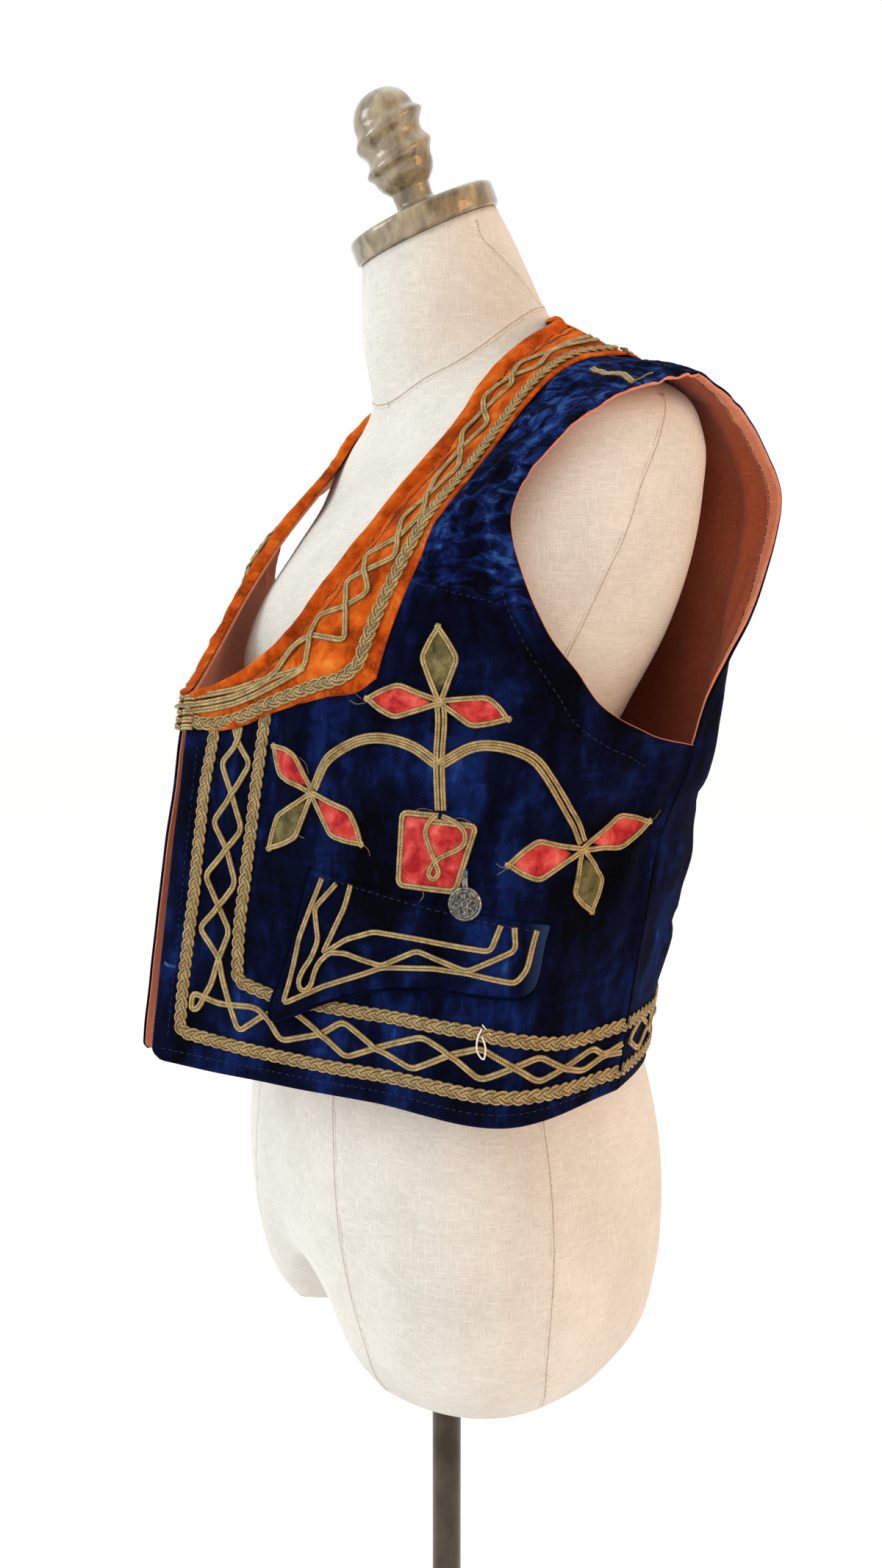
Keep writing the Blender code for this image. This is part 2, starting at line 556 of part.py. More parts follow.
def back_grid():
    """The back from the wearer's left edge to the right one, so that its outside faces out."""
    half_columns = BACK_SHOULDER_COLUMNS + BACK_NECK_COLUMNS
    rows = SIDE_ROWS + UPPER_ROWS
    outer = joined(((252, 0), (252, UNDERARM_UP)), BACK_ARMHOLE, SIDE_ROWS, UPPER_ROWS)
    outer[:SIDE_ROWS + 1, 0] -= SEAM_GAP / 2
    neck_side = along(((86, 0), (86, BACK_NECKLINE[-1][1])), rows + 1)
    neck_side[:, 1] = outer[:, 1] * BACK_NECKLINE[-1][1] / outer[-1, 1]
    half = np.concatenate([ruled(outer, neck_side, BACK_SHOULDER_COLUMNS),
                           np.zeros((rows + 1, BACK_NECK_COLUMNS, 2))], axis=1)
    neck = along(BACK_NECKLINE[::-1], BACK_NECK_COLUMNS + 1)
    for column in range(1, BACK_NECK_COLUMNS + 1):
        half[:, BACK_SHOULDER_COLUMNS + column, 0] = neck[column, 0]
        half[:, BACK_SHOULDER_COLUMNS + column, 1] = neck_side[:, 1] * neck[column, 1] / neck_side[-1, 1]
    other = half[:, -2::-1] * (-1, 1)
    return np.concatenate([half, other], axis=1)[:, :2 * half_columns + 1]


def build_panels(model, form_top, velvet, lining):
    """The shells and their linings; the back takes its seam points from the front."""
    grid = front_grid()
    rows, columns = grid.shape[0] - 1, grid.shape[1] - 1
    faces = triangles(grid.reshape(-1, 2), grid_faces(rows, columns))
    inside = keep_clear(front_place(grid.reshape(-1, 2)), faces, form_top, FORM_CLEAR)
    outside = inside + point_normals(inside, faces) * (LINING_THICK + SEAM_GAP) * MM
    pair(model, "lining_front", inside, faces, LINING_THICK, lining)
    pair(model, "front", outside, faces, VELVET_THICK, velvet)

    front = inside.reshape(rows + 1, columns + 1, 3)
    side_seam = front[:SIDE_ROWS + 1, -1] + (0, SEAM_GAP * MM, 0)
    shoulder = front[-1, ::-columns // BACK_SHOULDER_COLUMNS] + (0, 1.5 * SEAM_GAP * MM, 0)
    grid = back_grid()
    rows, columns = grid.shape[0] - 1, grid.shape[1] - 1
    faces = triangles(grid.reshape(-1, 2), grid_faces(rows, columns))
    inside = back_place(grid.reshape(-1, 2)).reshape(rows + 1, columns + 1, 3)
    flip = (-1, 1, 1)
    for _ in range(3):
        inside[:SIDE_ROWS + 1, 0], inside[:SIDE_ROWS + 1, -1] = side_seam, side_seam * flip
        inside[-1, :BACK_SHOULDER_COLUMNS + 1] = shoulder
        inside[-1, -BACK_SHOULDER_COLUMNS - 1:] = shoulder[::-1] * flip
        inside = keep_clear(inside.reshape(-1, 3), faces, form_top, FORM_CLEAR).reshape(inside.shape)
    inside = inside.reshape(-1, 3)
    outside = inside + point_normals(inside, faces) * (LINING_THICK + SEAM_GAP) * MM
    model.sheet("lining_back", inside, faces, LINING_THICK, lining)
    model.sheet("back", outside, faces, VELVET_THICK, velvet)


def neck_and_collar_edges(rows):
    """The neckline and the collar's outer edge, point for point from the hook to the shoulder."""
    before = round(rows * COLLAR_CORNER_SHARE)
    inner = along(NECKLINE, rows + 1)
    outer = joined(COLLAR_LOWER_EDGE, COLLAR_OUTER_EDGE, before, rows - before)
    return inner, outer


def band(centre, wide, count):
    """A strip of even width: its two edges on both sides of a centre line."""
    middle = along(centre, count + 1)
    ahead = np.gradient(middle, axis=0)
    ahead /= np.linalg.norm(ahead, axis=1, keepdims=True)
    aside = np.stack([ahead[:, 1], -ahead[:, 0]], axis=1) * wide / 2
    return np.stack([middle + aside, middle - aside], axis=1)


def cornered_band(first, second, wide, counts):
    """Two bands that meet in a mitred corner."""
    one = band(first, wide, counts[0])
    two = band(second, wide, counts[1])
    corner = np.array(second[0], float)
    down = one[-1, 0] - one[-1, 1]
    over = two[0, 0] - two[0, 1]
    mitre = np.stack([corner + (down + over) / 2, corner - (down + over) / 2])
    return np.concatenate([one[:-1], mitre[None], two[1:]])


def cord_net(points, links, wide):
    """Flat outline of cords that meet at points: mitred places, and faces that wind one way."""
    points = np.asarray(points, float)
    spokes = {k: [] for k in range(len(points))}
    for start, end in links:
        spokes[start].append(end)
        spokes[end].append(start)
    places, faces, corner_of = [], [], {}
    for node, ends in spokes.items():
        bearing = {end: math.atan2(*(points[end] - points[node])[::-1]) for end in ends}
        ends = sorted(ends, key=bearing.get)
        ring = []
        for k, end in enumerate(ends):
            after = ends[(k + 1) % len(ends)]
            gap = (bearing[after] - bearing[end]) % (2 * math.pi) or 2 * math.pi
            if len(ends) == 1:
                for turn in (math.pi / 2, -math.pi / 2):
                    angle = bearing[end] + turn
                    corner_of[node, end, turn > 0] = len(places)
                    places.append(points[node] + np.array((math.cos(angle), math.sin(angle))) * wide / 2)
                continue
            reach = min(wide / 2 / max(math.sin(gap / 2), 0.2), 1.6 * wide)
            angle = bearing[end] + gap / 2
            corner_of[node, end, True] = corner_of[node, after, False] = len(places)
            ring.append(len(places))
            places.append(points[node] + np.array((math.cos(angle), math.sin(angle))) * reach)
        if len(ring) > 2:
            faces.append(ring)
    for start, end in links:
        faces.append([corner_of[start, end, False], corner_of[end, start, True],
                      corner_of[end, start, False], corner_of[start, end, True]])
    return np.array(places), faces


def chains(*runs):
    """Points and links of cords given as runs of places; equal places are one point."""
    points, links = [], []
    for run in runs:
        for place in run:
            if tuple(place) not in points:
                points.append(tuple(place))
        links += [(points.index(tuple(a)), points.index(tuple(b))) for a, b in zip(run, run[1:])]
    return points, links


def lattice_runs(rows, end):
    """The two crossing cords of a lattice table."""
    crossings = [row[0:2] for row in rows] + [end]
    inner, outer = [], []
    for k, row in enumerate(rows):
        inner += [crossings[k], row[2:4]]
        outer += [crossings[k], row[4:6]]
    return inner + [end], outer + [end]


def even_lattice(start, up, swing, half_turns, sink=0):
    """A lattice of even waves from one side of the back to the other."""
    step = 2 * start / half_turns
    rows = []
    for k in range(half_turns):
        across, middle = start - k * step, start - (k + 0.5) * step
        level = [up - sink * (1 - (place / start) ** 2) for place in (across, middle)]
        rows.append((across, level[0], middle, level[1] + swing, middle, level[1] - swing))
    return lattice_runs(rows, (-start, up))


def strip(model, name, place, edges, ground, thick, finish, both=False):
    rows, columns = edges.shape[0] - 1, edges.shape[1] - 1
    faces = grid_faces(rows, columns)
    put(model, name, place, edges.reshape(-1, 2), faces, ground, thick, finish, both)


def put(model, name, place, places, faces, ground, thick, finish, both=False):
    """Lay a flat piece on the ground, turned so that its outside faces out; both makes its twin."""
    faces = triangles(places, faces)
    ring = place(places[faces[0]])
    outward = np.cross(ring[1] - ring[0], ring[2] - ring[0]).dot(facing(place, places[faces[0]]).mean(axis=0))
    if outward < 0:
        faces = [face[::-1] for face in faces]
    points = lie(place, places, faces, ground, LAY_GAP)
    if both:
        pair(model, name, points, faces, thick, finish)
    else:
        model.sheet(name, points, faces, thick, finish)


def build_collar(model, velvet):
    inner, outer = neck_and_collar_edges(COLLAR_ROWS)
    strip(model, "collar", front_place, ruled(inner, outer, 4), ground_of(model.tops["front_left"]),
          COLLAR_THICK, velvet, both=True)
    half_inner, half_outer = along(BACK_NECKLINE, 6), along(BACK_COLLAR_EDGE, 6)
    half_inner[-1, 0], half_outer[-1, 0] = 84, 158
    grid = ruled(half_inner, half_outer, 3)
    whole = np.concatenate([grid[:0:-1] * (-1, 1), grid])
    whole[0, :, 1] -= COLLAR_END_DROP
    whole[-1, :, 1] -= COLLAR_END_DROP
    strip(model, "collar_back", back_place, whole, ground_of(model.tops["back"]), COLLAR_THICK, velvet)


def whole_back(half):
    """A line over half of the back, from the wearer's left, carried on over the right."""
    return half + tuple((-across, up) for across, up in half[-2::-1])


def collar_braid_line():
    inner, outer = neck_and_collar_edges(30)
    return (inner * (1 - COLLAR_BRAID_AT) + outer * COLLAR_BRAID_AT)[1:]


def back_collar_braid_line():
    half = along(BACK_NECKLINE, 9) * (1 - COLLAR_BRAID_AT) + along(BACK_COLLAR_EDGE, 9) * COLLAR_BRAID_AT
    return np.concatenate([half[:0:-1] * (-1, 1), half])


def build_braids(model, gold):
    front = ground_of(model.tops["front_left"])
    back = ground_of(model.tops["back"])
    outer = cornered_band(OUTER_BRAID_DOWN, OUTER_BRAID_HEM, BRAID_WIDE, OUTER_BRAID_STEPS)
    strip(model, "braid_outer", front_place, outer, front, BRAID_THICK, gold, both=True)
    inner = cornered_band(INNER_BRAID_DOWN, INNER_BRAID_HEM, BRAID_WIDE, INNER_BRAID_STEPS)
    strip(model, "braid_inner", front_place, inner, front, BRAID_THICK, gold, both=True)
    for name, half in (("braid_outer_back", BACK_OUTER_BRAID), ("braid_inner_back", BACK_INNER_BRAID)):
        line = band(whole_back(half), BRAID_WIDE, LONG_BRAID_STEPS)
        strip(model, name, back_place, line, back, BRAID_THICK, gold)
    strip(model, "collar_braid", front_place, band(collar_braid_line(), BRAID_WIDE, LONG_BRAID_STEPS),
          ground_of(model.tops["collar_left"]), BRAID_THICK, gold, both=True)
    strip(model, "collar_braid_back", back_place,
          band(back_collar_braid_line(), BRAID_WIDE, SHORT_BRAID_STEPS),
          ground_of(model.tops["collar_back"]), BRAID_THICK, gold)


def beside(places, line, least):
    """Places pushed off a line until they lie at least the given distance from it."""
    line = np.asarray(line, float)
    steps = np.diff(line, axis=0)
    moved = np.array(places, float)
    for index, place in enumerate(moved):
        share = np.clip(((place - line[:-1]) * steps).sum(axis=1) / (steps ** 2).sum(axis=1), 0, 1)
        away = place - (line[:-1] + steps * share[:, None])
        distance = np.linalg.norm(away, axis=1)
        nearest = distance.argmin()
        if distance[nearest] < least:
            moved[index] += away[nearest] * (least / distance[nearest] - 1)
    return moved


def net(model, name, place, runs, wide, ground, finish, both=False, braids=()):
    """Cords that cross, laid on the ground and kept beside the braids."""
    points, links = chains(*runs)
    for line in braids:
        points = beside(points, line, (BRAID_WIDE + wide) / 2 + BRAID_CLEAR)
    places, faces = cord_net(points, links, wide)
    for line in braids:
        places = beside(places, line, BRAID_WIDE / 2 + BRAID_CLEAR)
    put(model, name, place, places, faces, ground, CORD_THICK, finish, both)


def build_cords(model, gold):
    front = ground_of(model.tops["front_left"])
    down = lattice_runs(DOWN_LATTICE, CORNER_CORD[0])
    hem = lattice_runs(HEM_LATTICE, HEM_LATTICE_END)
    link = (CORNER_CORD[-1], HEM_LATTICE[0][0:2])
    turn = (CORNER_TURN[-1], HEM_LATTICE[0][0:2])
    lines = (*down, CORNER_CORD, link, CORNER_TURN, turn, *hem)
    net(model, "border_cord", front_place, lines, CORD_WIDE, front, gold, both=True,
        braids=(OUTER_BRAID_DOWN, OUTER_BRAID_HEM, INNER_BRAID_DOWN, INNER_BRAID_HEM))
    net(model, "border_cord_back", back_place, even_lattice(**BACK_LATTICE), CORD_WIDE,
        ground_of(model.tops["back"]), gold,
        braids=(whole_back(BACK_OUTER_BRAID), whole_back(BACK_INNER_BRAID)))
    foot = (*COLLAR_CORDS_FOOT, COLLAR_LATTICE[0][0:2])
    lines = (foot, *lattice_runs(COLLAR_LATTICE, COLLAR_LATTICE_END))
    net(model, "collar_cord", front_place, lines, CORD_WIDE, ground_of(model.tops["collar_left"]), gold,
        both=True, braids=(collar_braid_line(),))
    net(model, "collar_cord_back", back_place, even_lattice(**BACK_COLLAR_LATTICE), CORD_WIDE,
        ground_of(model.tops["collar_back"]), gold, braids=(back_collar_braid_line(),))
    net(model, "flower_stem", front_place, (STEM, INNER_BRANCH, OUTER_BRANCH), STEM_WIDE, front, gold,
        both=True)
    net(model, "shoulder_bar", front_place, (SHOULDER_BAR,), CORD_WIDE + 1, front, gold, both=True)


def patch(outline):
    """A patch with its middle point, as places and a fan of faces."""
    outline = np.asarray(outline, float)
    places = np.concatenate([outline, outline.mean(axis=0)[None]])
    count = len(outline)
    return places, [[k, (k + 1) % count, count] for k in range(count)]


def kite(base, tip, wide):
    """A leaf outline: pointed at both ends, widest a little over half way."""
    base, tip = np.array(base, float), np.array(tip, float)
    ahead = tip - base
    aside = np.array((-ahead[1], ahead[0])) / np.linalg.norm(ahead) * wide / 2
    left = [base + ahead * t + aside * w for t, w in ((0.0, 0.14), (0.30, 0.68), (0.56, 1.0), (0.80, 0.62))]
    right = [base + ahead * t - aside * w for t, w in ((0.80, 0.62), (0.56, 1.0), (0.30, 0.68), (0.0, 0.14))]
    return left + [tip] + right


def build_flowers(model, cloths):
    front = ground_of(model.tops["front_left"])
    for name, base_across, base_up, tip_across, tip_up, wide, cloth in LEAVES:
        places, faces = patch(kite((base_across, base_up), (tip_across, tip_up), wide))
        put(model, f"leaf_{name}", front_place, places, faces, front, PATCH_THICK, cloths[cloth], both=True)
    outline = np.concatenate([along((a, b), 4)[:-1] for a, b in zip(POT, POT[1:] + POT[:1])])
    places, faces = patch(outline)
    put(model, "flower_pot", front_place, places, faces, front, PATCH_THICK, cloths["red"], both=True)


def build_flap(model, velvet, gold):
    ground = ground_of(model.tops["front_left"], model.tops["braid_inner_left"],
                       model.tops["flower_pot_left"])
    grid = ruled(along(FLAP_BOTTOM, 13), along(FLAP_TOP, 13), 4)
    strip(model, "pocket_flap", front_place, grid, ground, FLAP_THICK, velvet, both=True)
    net(model, "flap_cord", front_place, (FLAP_OUTER_CORD, FLAP_INNER_CORD, FLAP_WAVE, FLAP_LOOP), CORD_WIDE,
        ground_of(model.tops["pocket_flap_left"]), gold, both=True)


def build_coin(model, pewter):
    """The coin hangs flat on the left flap from its shank: one disc with the shank above it."""
    ground = ground_of(model.tops["pocket_flap_left"], model.tops["flap_cord_left"],
                       model.tops["flower_pot_left"])
    radius, half = COIN["radius"], COIN["shank_wide"] / 2
    start = math.asin(half / radius)
    angles = np.linspace(math.pi / 2 + start, 5 * math.pi / 2 - start, COIN["points"])
    outline = [(radius * math.cos(angle), radius * math.sin(angle)) for angle in angles]
    outline += [(half, COIN["shank_top"]), (-half, COIN["shank_top"])]
    centre = front_place(np.array(COIN_CENTRE, float))
    tilt = facing(front_place, np.array([COIN_CENTRE], float))[0]
    across = np.cross((0, 0, 1), tilt)
    across /= np.linalg.norm(across)
    up = np.cross(tilt, across)
    flat = np.array([centre + (across * a + up * b) * MM for a, b in outline])
    found = [(point, ground.ray_cast(Vector(point + tilt * LAY_REACH), Vector(-tilt))[0]) for point in flat]
    highest = max((np.array(spot) - point).dot(tilt) for point, spot in found if spot is not None)
    flat = flat + tilt * (highest + SEAM_GAP * MM)
    model.sheet("coin_pendant", flat, [list(range(len(flat)))], COIN["thick"], pewter)


def build_hook(model, thread):
    """A worked thread loop that closes the front at the collar's ends."""
    side = np.array((HOOK["across"], HOOK["up"]), float)
    end = front_place(side) + facing(front_place, side[None])[0] * HOOK["off"] * MM
    bow = np.array((0, -HOOK["bow"], HOOK["bow"] / 2)) * MM
    route = [end, end * (0.5, 1, 1) + bow * 0.7, end * (0, 1, 1) + bow]
    route += [point * (-1, 1, 1) for point in route[1::-1]]
    curve = bpy.data.curves.new("front_hook", "CURVE")
    curve.dimensions = "3D"
    curve.bevel_depth = HOOK["thread"] * MM
    curve.bevel_resolution = 1
    curve.use_fill_caps = True
    spline = curve.splines.new("POLY")
    spline.points.add(len(route) - 1)
    for point, spot in zip(spline.points, route):
        point.co = (*spot, 1)
    model.add("front_hook", curve, thread)


def start_scene():
    for item in list(bpy.data.objects):
        bpy.data.objects.remove(item, do_unlink=True)


def surface_of(piece):
    points = np.array([vertex.co for vertex in piece.data.vertices])
    return points, [list(face.vertices) for face in piece.data.polygons]


def main():
    start_scene()
    model = Model()
    canvas = material("canvas", "efe4d3", 0.85)
    navy = material("navy_velvet", "14225a", 0.8, sheen=0.6)
    orange = material("orange_velvet", "c4591a", 0.8, sheen=0.5)
    lining = material("lining_cotton", "d98a6c", 0.85)
    gold = material("gold_thread", "a8935a", 0.5, 0.3)
    patches = {"red": material("red_velvet", "d23a40", 0.8), "olive": material("olive_velvet", "6f6a4a", 0.8)}
    metal = material("brushed_steel", "5a534c", 0.35, 1.0)
    pewter = material("pewter", "7f7f78", 0.4, 1.0)
    resin = material("antiqued_resin", "7f775a", 0.3)

    form_top = ground_of(surface_of(build_form(model, canvas)))
    rim = [(POLE_RADIUS * math.cos(angle), POLE_RADIUS * math.sin(angle), POLE_BOTTOM)
           for angle in np.linspace(0, 2 * math.pi, POLE_STEPS)]
    under_form = min(form_top.ray_cast(spot, (0, 0, 1))[0].z for spot in (*rim, (0, 0, POLE_BOTTOM)))
    build_stand(model, under_form - SEAM_GAP * MM, metal, resin)

    build_panels(model, form_top, navy, lining)
    build_collar(model, orange)
    build_braids(model, gold)
    build_cords(model, gold)
    build_flowers(model, patches)
    build_flap(model, navy, gold)
    build_coin(model, pewter)
    build_hook(model, gold)


main()
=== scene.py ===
"""Embroidered folk vest on its dress form: fine cloth, braid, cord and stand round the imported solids.

Metres, +Z up, the floor at z = 0 under the pole. The form faces -Y and the wearer's left is +X.
A place on the cloth is (across, up) in millimetres of the flat pattern, across from the centre
line and up from the hem. A lift is millimetres over the inner face of the lining.
Left pieces are made, and their twins on the wearer's right are mirrored from them.
"""
import math

import bmesh
import bpy
import numpy as np
from mathutils import Matrix, Vector, noise
from mathutils.bvhtree import BVHTree


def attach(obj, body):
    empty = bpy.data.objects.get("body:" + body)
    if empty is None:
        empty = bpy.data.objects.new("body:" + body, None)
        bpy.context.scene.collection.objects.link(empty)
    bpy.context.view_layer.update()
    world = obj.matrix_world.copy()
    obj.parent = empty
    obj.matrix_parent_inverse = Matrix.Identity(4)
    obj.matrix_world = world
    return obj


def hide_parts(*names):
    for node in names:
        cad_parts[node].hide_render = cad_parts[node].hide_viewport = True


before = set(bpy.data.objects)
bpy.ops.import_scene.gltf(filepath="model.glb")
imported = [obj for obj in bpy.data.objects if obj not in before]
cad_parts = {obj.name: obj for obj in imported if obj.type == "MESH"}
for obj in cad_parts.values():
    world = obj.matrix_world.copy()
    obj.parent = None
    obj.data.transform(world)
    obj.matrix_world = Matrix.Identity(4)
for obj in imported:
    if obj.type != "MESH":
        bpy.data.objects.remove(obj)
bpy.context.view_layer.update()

MM = 0.001
FULL_TURN = 2 * math.pi
WELD = 0.000002                # points nearer than this are one point, m
FINISHES = {}                  # short name: (the record's slot, the material)
FRONT_SIDE, BACK_SIDE, UNDERARM_UP = 315, 252, 203     # the side seams, and how high they reach
LINING_THICK = 1.0
VELVET_LOW, VELVET_TOP = 1.3, 2.9      # lifts of the velvet's wrong side and of its pile
COLLAR_LOW, COLLAR_TOP = 3.1, 4.7
FLAP_LOW, FLAP_TOP_LIFT = 3.3, 5.2
PATCH_LOW, PATCH_TOP = 2.7, 4.0
CORD_LIE, COLLAR_CORD_LIE, OUTLINE_LIE = VELVET_TOP + 0.55, COLLAR_TOP + 0.6, VELVET_TOP + 0.7
ROLL, LINING_ROLL = 2.2, 1.2   # how far in from a turned edge the cloth reaches its full thickness
EDGE_STEPS = np.array((0.0, 0.12, 0.45, 1.1))
PIPING_STEP, SEAM_STEP, PLAIT_STEP = 2.2, 2.4, 1.3     # how close together the points of each run are
PLAIT_SWING, PLAIT_DEPTH, PLAIT_TURN = 2.65, 0.62, 19.5    # one strand's swing, over and under, and repeat, mm
FORM_CLEAR = 0.9               # least gap between the lining and the form
BRAID_WIDE = 9.0
CORD_WIDE = 4.0

POLE_BEHIND = 10.0             # the pole's axis lies this far behind y = 0 of the section tables, mm
POLE_RADIUS, POLE_BOTTOM = 0.0113, 0.0115
BASE_RADIUS, BASE_PLATE = 0.160, 0.009
BASE_COLLAR_RADIUS, BASE_COLLAR_TOP = 0.026, 0.034
NECK_TILT = math.radians(27.0)
NECK_CENTRE = (0.0, -0.016, 1.207)
CAP_RADIUS, CAP_THICK = 0.0530, 0.0165

# --------------------------------------------------------------------------- tables of sections
# Torso of the form. Heights and half axes in mm; tilt in degrees, the ring's back higher.
FORM_SECTIONS = (
    # height, half_width, front, middle, back, squareness in front, squareness behind, tilt
    (418, 140, -93, 2, 124, 2.35, 2.35, 0),
    (440, 154, -107, -2, 142, 2.40, 2.40, 0),
    (475, 163, -117, -6, 151, 2.45, 2.45, 0),
    (520, 167, -123, -10, 155, 2.45, 2.45, 0),
    (575, 165, -124, -10, 152, 2.40, 2.40, 0),
    (635, 156, -119, -6, 138, 2.30, 2.30, 0),
    (700, 138, -106, 0, 112, 2.20, 2.20, 0),
    (765, 124, -89, 5, 86, 2.10, 2.10, 0),
    (825, 126, -99, 8, 88, 2.10, 2.10, 1),
    (880, 143, -107, 20, 107, 2.15, 2.40, 2),
    (930, 158, -111, 36, 125, 2.20, 2.80, 4),
    (975, 168, -104, 48, 132, 2.30, 3.00, 5),
    (1015, 173, -79, 54, 133, 2.35, 3.10, 7),
    (1050, 173, -51, 56, 131, 2.40, 3.10, 9),
    (1076, 163, -40, 54, 121, 2.35, 2.80, 11),
    (1094, 136, -37, 50, 110, 2.20, 2.40, 14),
    (1109, 104, -37, 46, 101, 2.10, 2.15, 17),
    (1123, 77, -40, 42, 93, 2.05, 2.05, 20),
    (1142, 61, -47, 33, 82, 2.00, 2.00, 22),
    (1165, 55, -52, 14, 68, 2.00, 2.00, 25),
    (1190, 51, -52, 1, 52, 2.00, 2.00, 27),
    (1207, 50, -51, -6, 39, 2.00, 2.00, 27),
)
BUST = {"height": 905, "spread": 82, "rise": 22, "radius": 62, "falling": 1.6}
LEG_NOTCH = {"depth": 14, "reach": 100, "half_width": 68, "rise": 62}
# Rings under the lowest section: (share of its size, drop below it), outermost first.
THIGH_UNDERSIDE = ((0.93, 3), (0.80, 8), (0.62, 13), (0.40, 17), (0.20, 17))
# Ring heights, close together where the form turns fast: (from, to, how many).
FORM_RINGS = ((418, 540, 26), (545, 1050, 66), (1055, 1145, 30), (1150, 1207, 14))
UNDERSIDE_RINGS = 22

# The fronts as worn (the wearer's left; the right is its mirror). Five places across each section.
FRONT_ACROSS = (0, 75, 150, 235, 315)
FRONT_SECTIONS = (
    # up, then x, y, z of the places over the edge, breast, side front, flank and side seam
    (0, 7, -220, 661, 61, -170, 653, 118, -121, 648, 186, -72, 645, 194, 3, 654),
    (55, 7, -213, 715, 62, -166, 709, 119, -120, 705, 185, -68, 705, 194, 13, 711),
    (102, 6, -206, 762, 61, -162, 757, 119, -118, 754, 184, -61, 754, 193, 24, 757),
    (150, 5, -199, 809, 60, -160, 806, 118, -118, 804, 182, -52, 804, 192, 37, 806),
    (203, 4, -191, 861, 59, -157, 859, 117, -117, 857, 179, -40, 857, 190, 66, 860),
    (248, 2, -182, 905, 58, -150, 904, 116, -113, 902, 176, -30, 900, 192, 60, 905),
    (300, 0, -160, 950, 57, -127, 953, 116, -100, 952, 166, -45, 950, 188, 40, 950),
    (342, 0, -132, 990, 60, -98, 992, 120, -84, 991, 160, -52, 992, 186, 30, 990),
    (386, 0, -104, 1026, 63, -66, 1032, 122, -47, 1031, 164, -36, 1026, 190, 0, 1020),
    (430, 0, -70, 1060, 68, -31, 1069, 126, -12, 1066, 172, 2, 1061, 200, 20, 1050),
    (474, 10, -30, 1098, 71, 6, 1108, 128, 22, 1094, 181, 38, 1077, 208, 48, 1062),
    (518, 20, 20, 1158, 72, 46, 1139, 128, 58, 1106, 184, 68, 1085, 216, 74, 1069),
)

# The back as worn, from the centre line to the wearer's left.
BACK_ACROSS = (0, 85, 160, 215, 252)
BACK_SECTIONS = (
    # up, then x, y, z of the places over the centre, blade, side back, corner and side seam
    (0, 0, 126, 655, 84, 112, 655, 148, 70, 655, 178, 34, 655, 194, 3, 656),
    (55, 0, 124, 711, 84, 113, 711, 148, 76, 711, 178, 42, 711, 194, 13, 711),
    (102, 0, 124, 757, 84, 115, 757, 148, 84, 757, 179, 52, 757, 193, 24, 757),
    (150, 0, 126, 806, 84, 120, 806, 148, 94, 806, 181, 66, 806, 192, 37, 806),
    (203, 0, 131, 860, 84, 129, 860, 152, 112, 860, 186, 90, 860, 190, 66, 860),
    (255, 0, 134, 912, 84, 134, 912, 152, 124, 912, 188, 106, 912, 200, 90, 912),
    (305, 0, 136, 962, 84, 138, 962, 152, 133, 962, 191, 122, 962, 212, 112, 962),
    (355, 0, 135, 1012, 84, 138, 1011, 150, 138, 1012, 191, 137, 1014, 214, 134, 1014),
    (395, 0, 131, 1052, 82, 135, 1050, 144, 132, 1046, 190, 125, 1040, 214, 122, 1038),
    (435, 0, 120, 1090, 80, 120, 1088, 138, 112, 1078, 189, 104, 1062, 214, 102, 1058),
    (475, 0, 104, 1124, 76, 92, 1113, 132, 88, 1093, 187, 86, 1074, 214, 84, 1067),
    (515, 0, 84, 1152, 72, 46, 1139, 128, 58, 1106, 184, 68, 1085, 214, 74, 1069),
)

# The finial without its ridge, (radius, height) in mm: dome, waist, bulb, stem and foot; and the
# ridge that winds twice round its waist.
FINIAL_PROFILE = ((0, 77.5), (7, 76.8), (13, 74.4), (18, 70), (20.9, 64.5), (21.7, 58.5), (21.3, 52), (20.8, 44),
                  (20.8, 36), (21.4, 30), (21.0, 25), (18.8, 20.4), (15.8, 17.2), (13.9, 15.2), (13.5, 12), (13.4, 8),
                  (13.9, 5.8), (15.9, 4.5), (17.7, 3.2), (17.9, 1.2), (17.4, 0), (12, 0), (0, 0))
RIDGE_UP, RIDGE_BEARING, RIDGE_PITCH = 39.0, 56.7, 18.9
RIDGE_HIGH, RIDGE_HALF, RIDGE_SPAN = 4.2, 4.8, (26.0, 63.0)

# Edges of the pattern pieces, (across, up) in mm.
HOOK_UP = 233
NECKLINE = ((0, HOOK_UP), (17, 237), (36, 244), (55, 255), (72, 271), (85, 305), (93, 340), (96, 378),
            (92, 426), (84, 474), (82, 518))
FRONT_ARMHOLE = ((315, UNDERARM_UP), (297, 208), (279, 217), (256, 235), (241, 262), (236, 298), (234, 340),
                 (237, 390), (243, 435), (244, 478), (240, 518))
BACK_NECKLINE = ((0, 497), (30, 499), (60, 506), (86, 515))
BACK_ARMHOLE = ((252, UNDERARM_UP), (236, 235), (226, 270), (220, 310), (218, 355), (218, 395), (219, 435), (221, 475),
                (223, 515))

# Collar: its outer edge from the hook to its corner, and from there to the shoulder seam.
COLLAR_LOWER_EDGE = ((3, 213), (22, 211), (44, 213), (79, 225), (117, 235), (140, 240), (148, 247))
COLLAR_OUTER_EDGE = ((148, 247), (151, 270), (156, 300), (163, 330), (167, 362), (160, 392), (151, 422), (147, 452),
                     (151, 485), (158, 518))
BACK_COLLAR_EDGE = ((0, 443), (40, 444), (90, 449), (130, 462), (152, 485), (160, 515))
COLLAR_CORNER_SHARE = 0.33     # share of the neckline that lies between the hook and the collar's corner
COLLAR_BRAID_AT = 0.83         # share of the collar's width, from the neckline

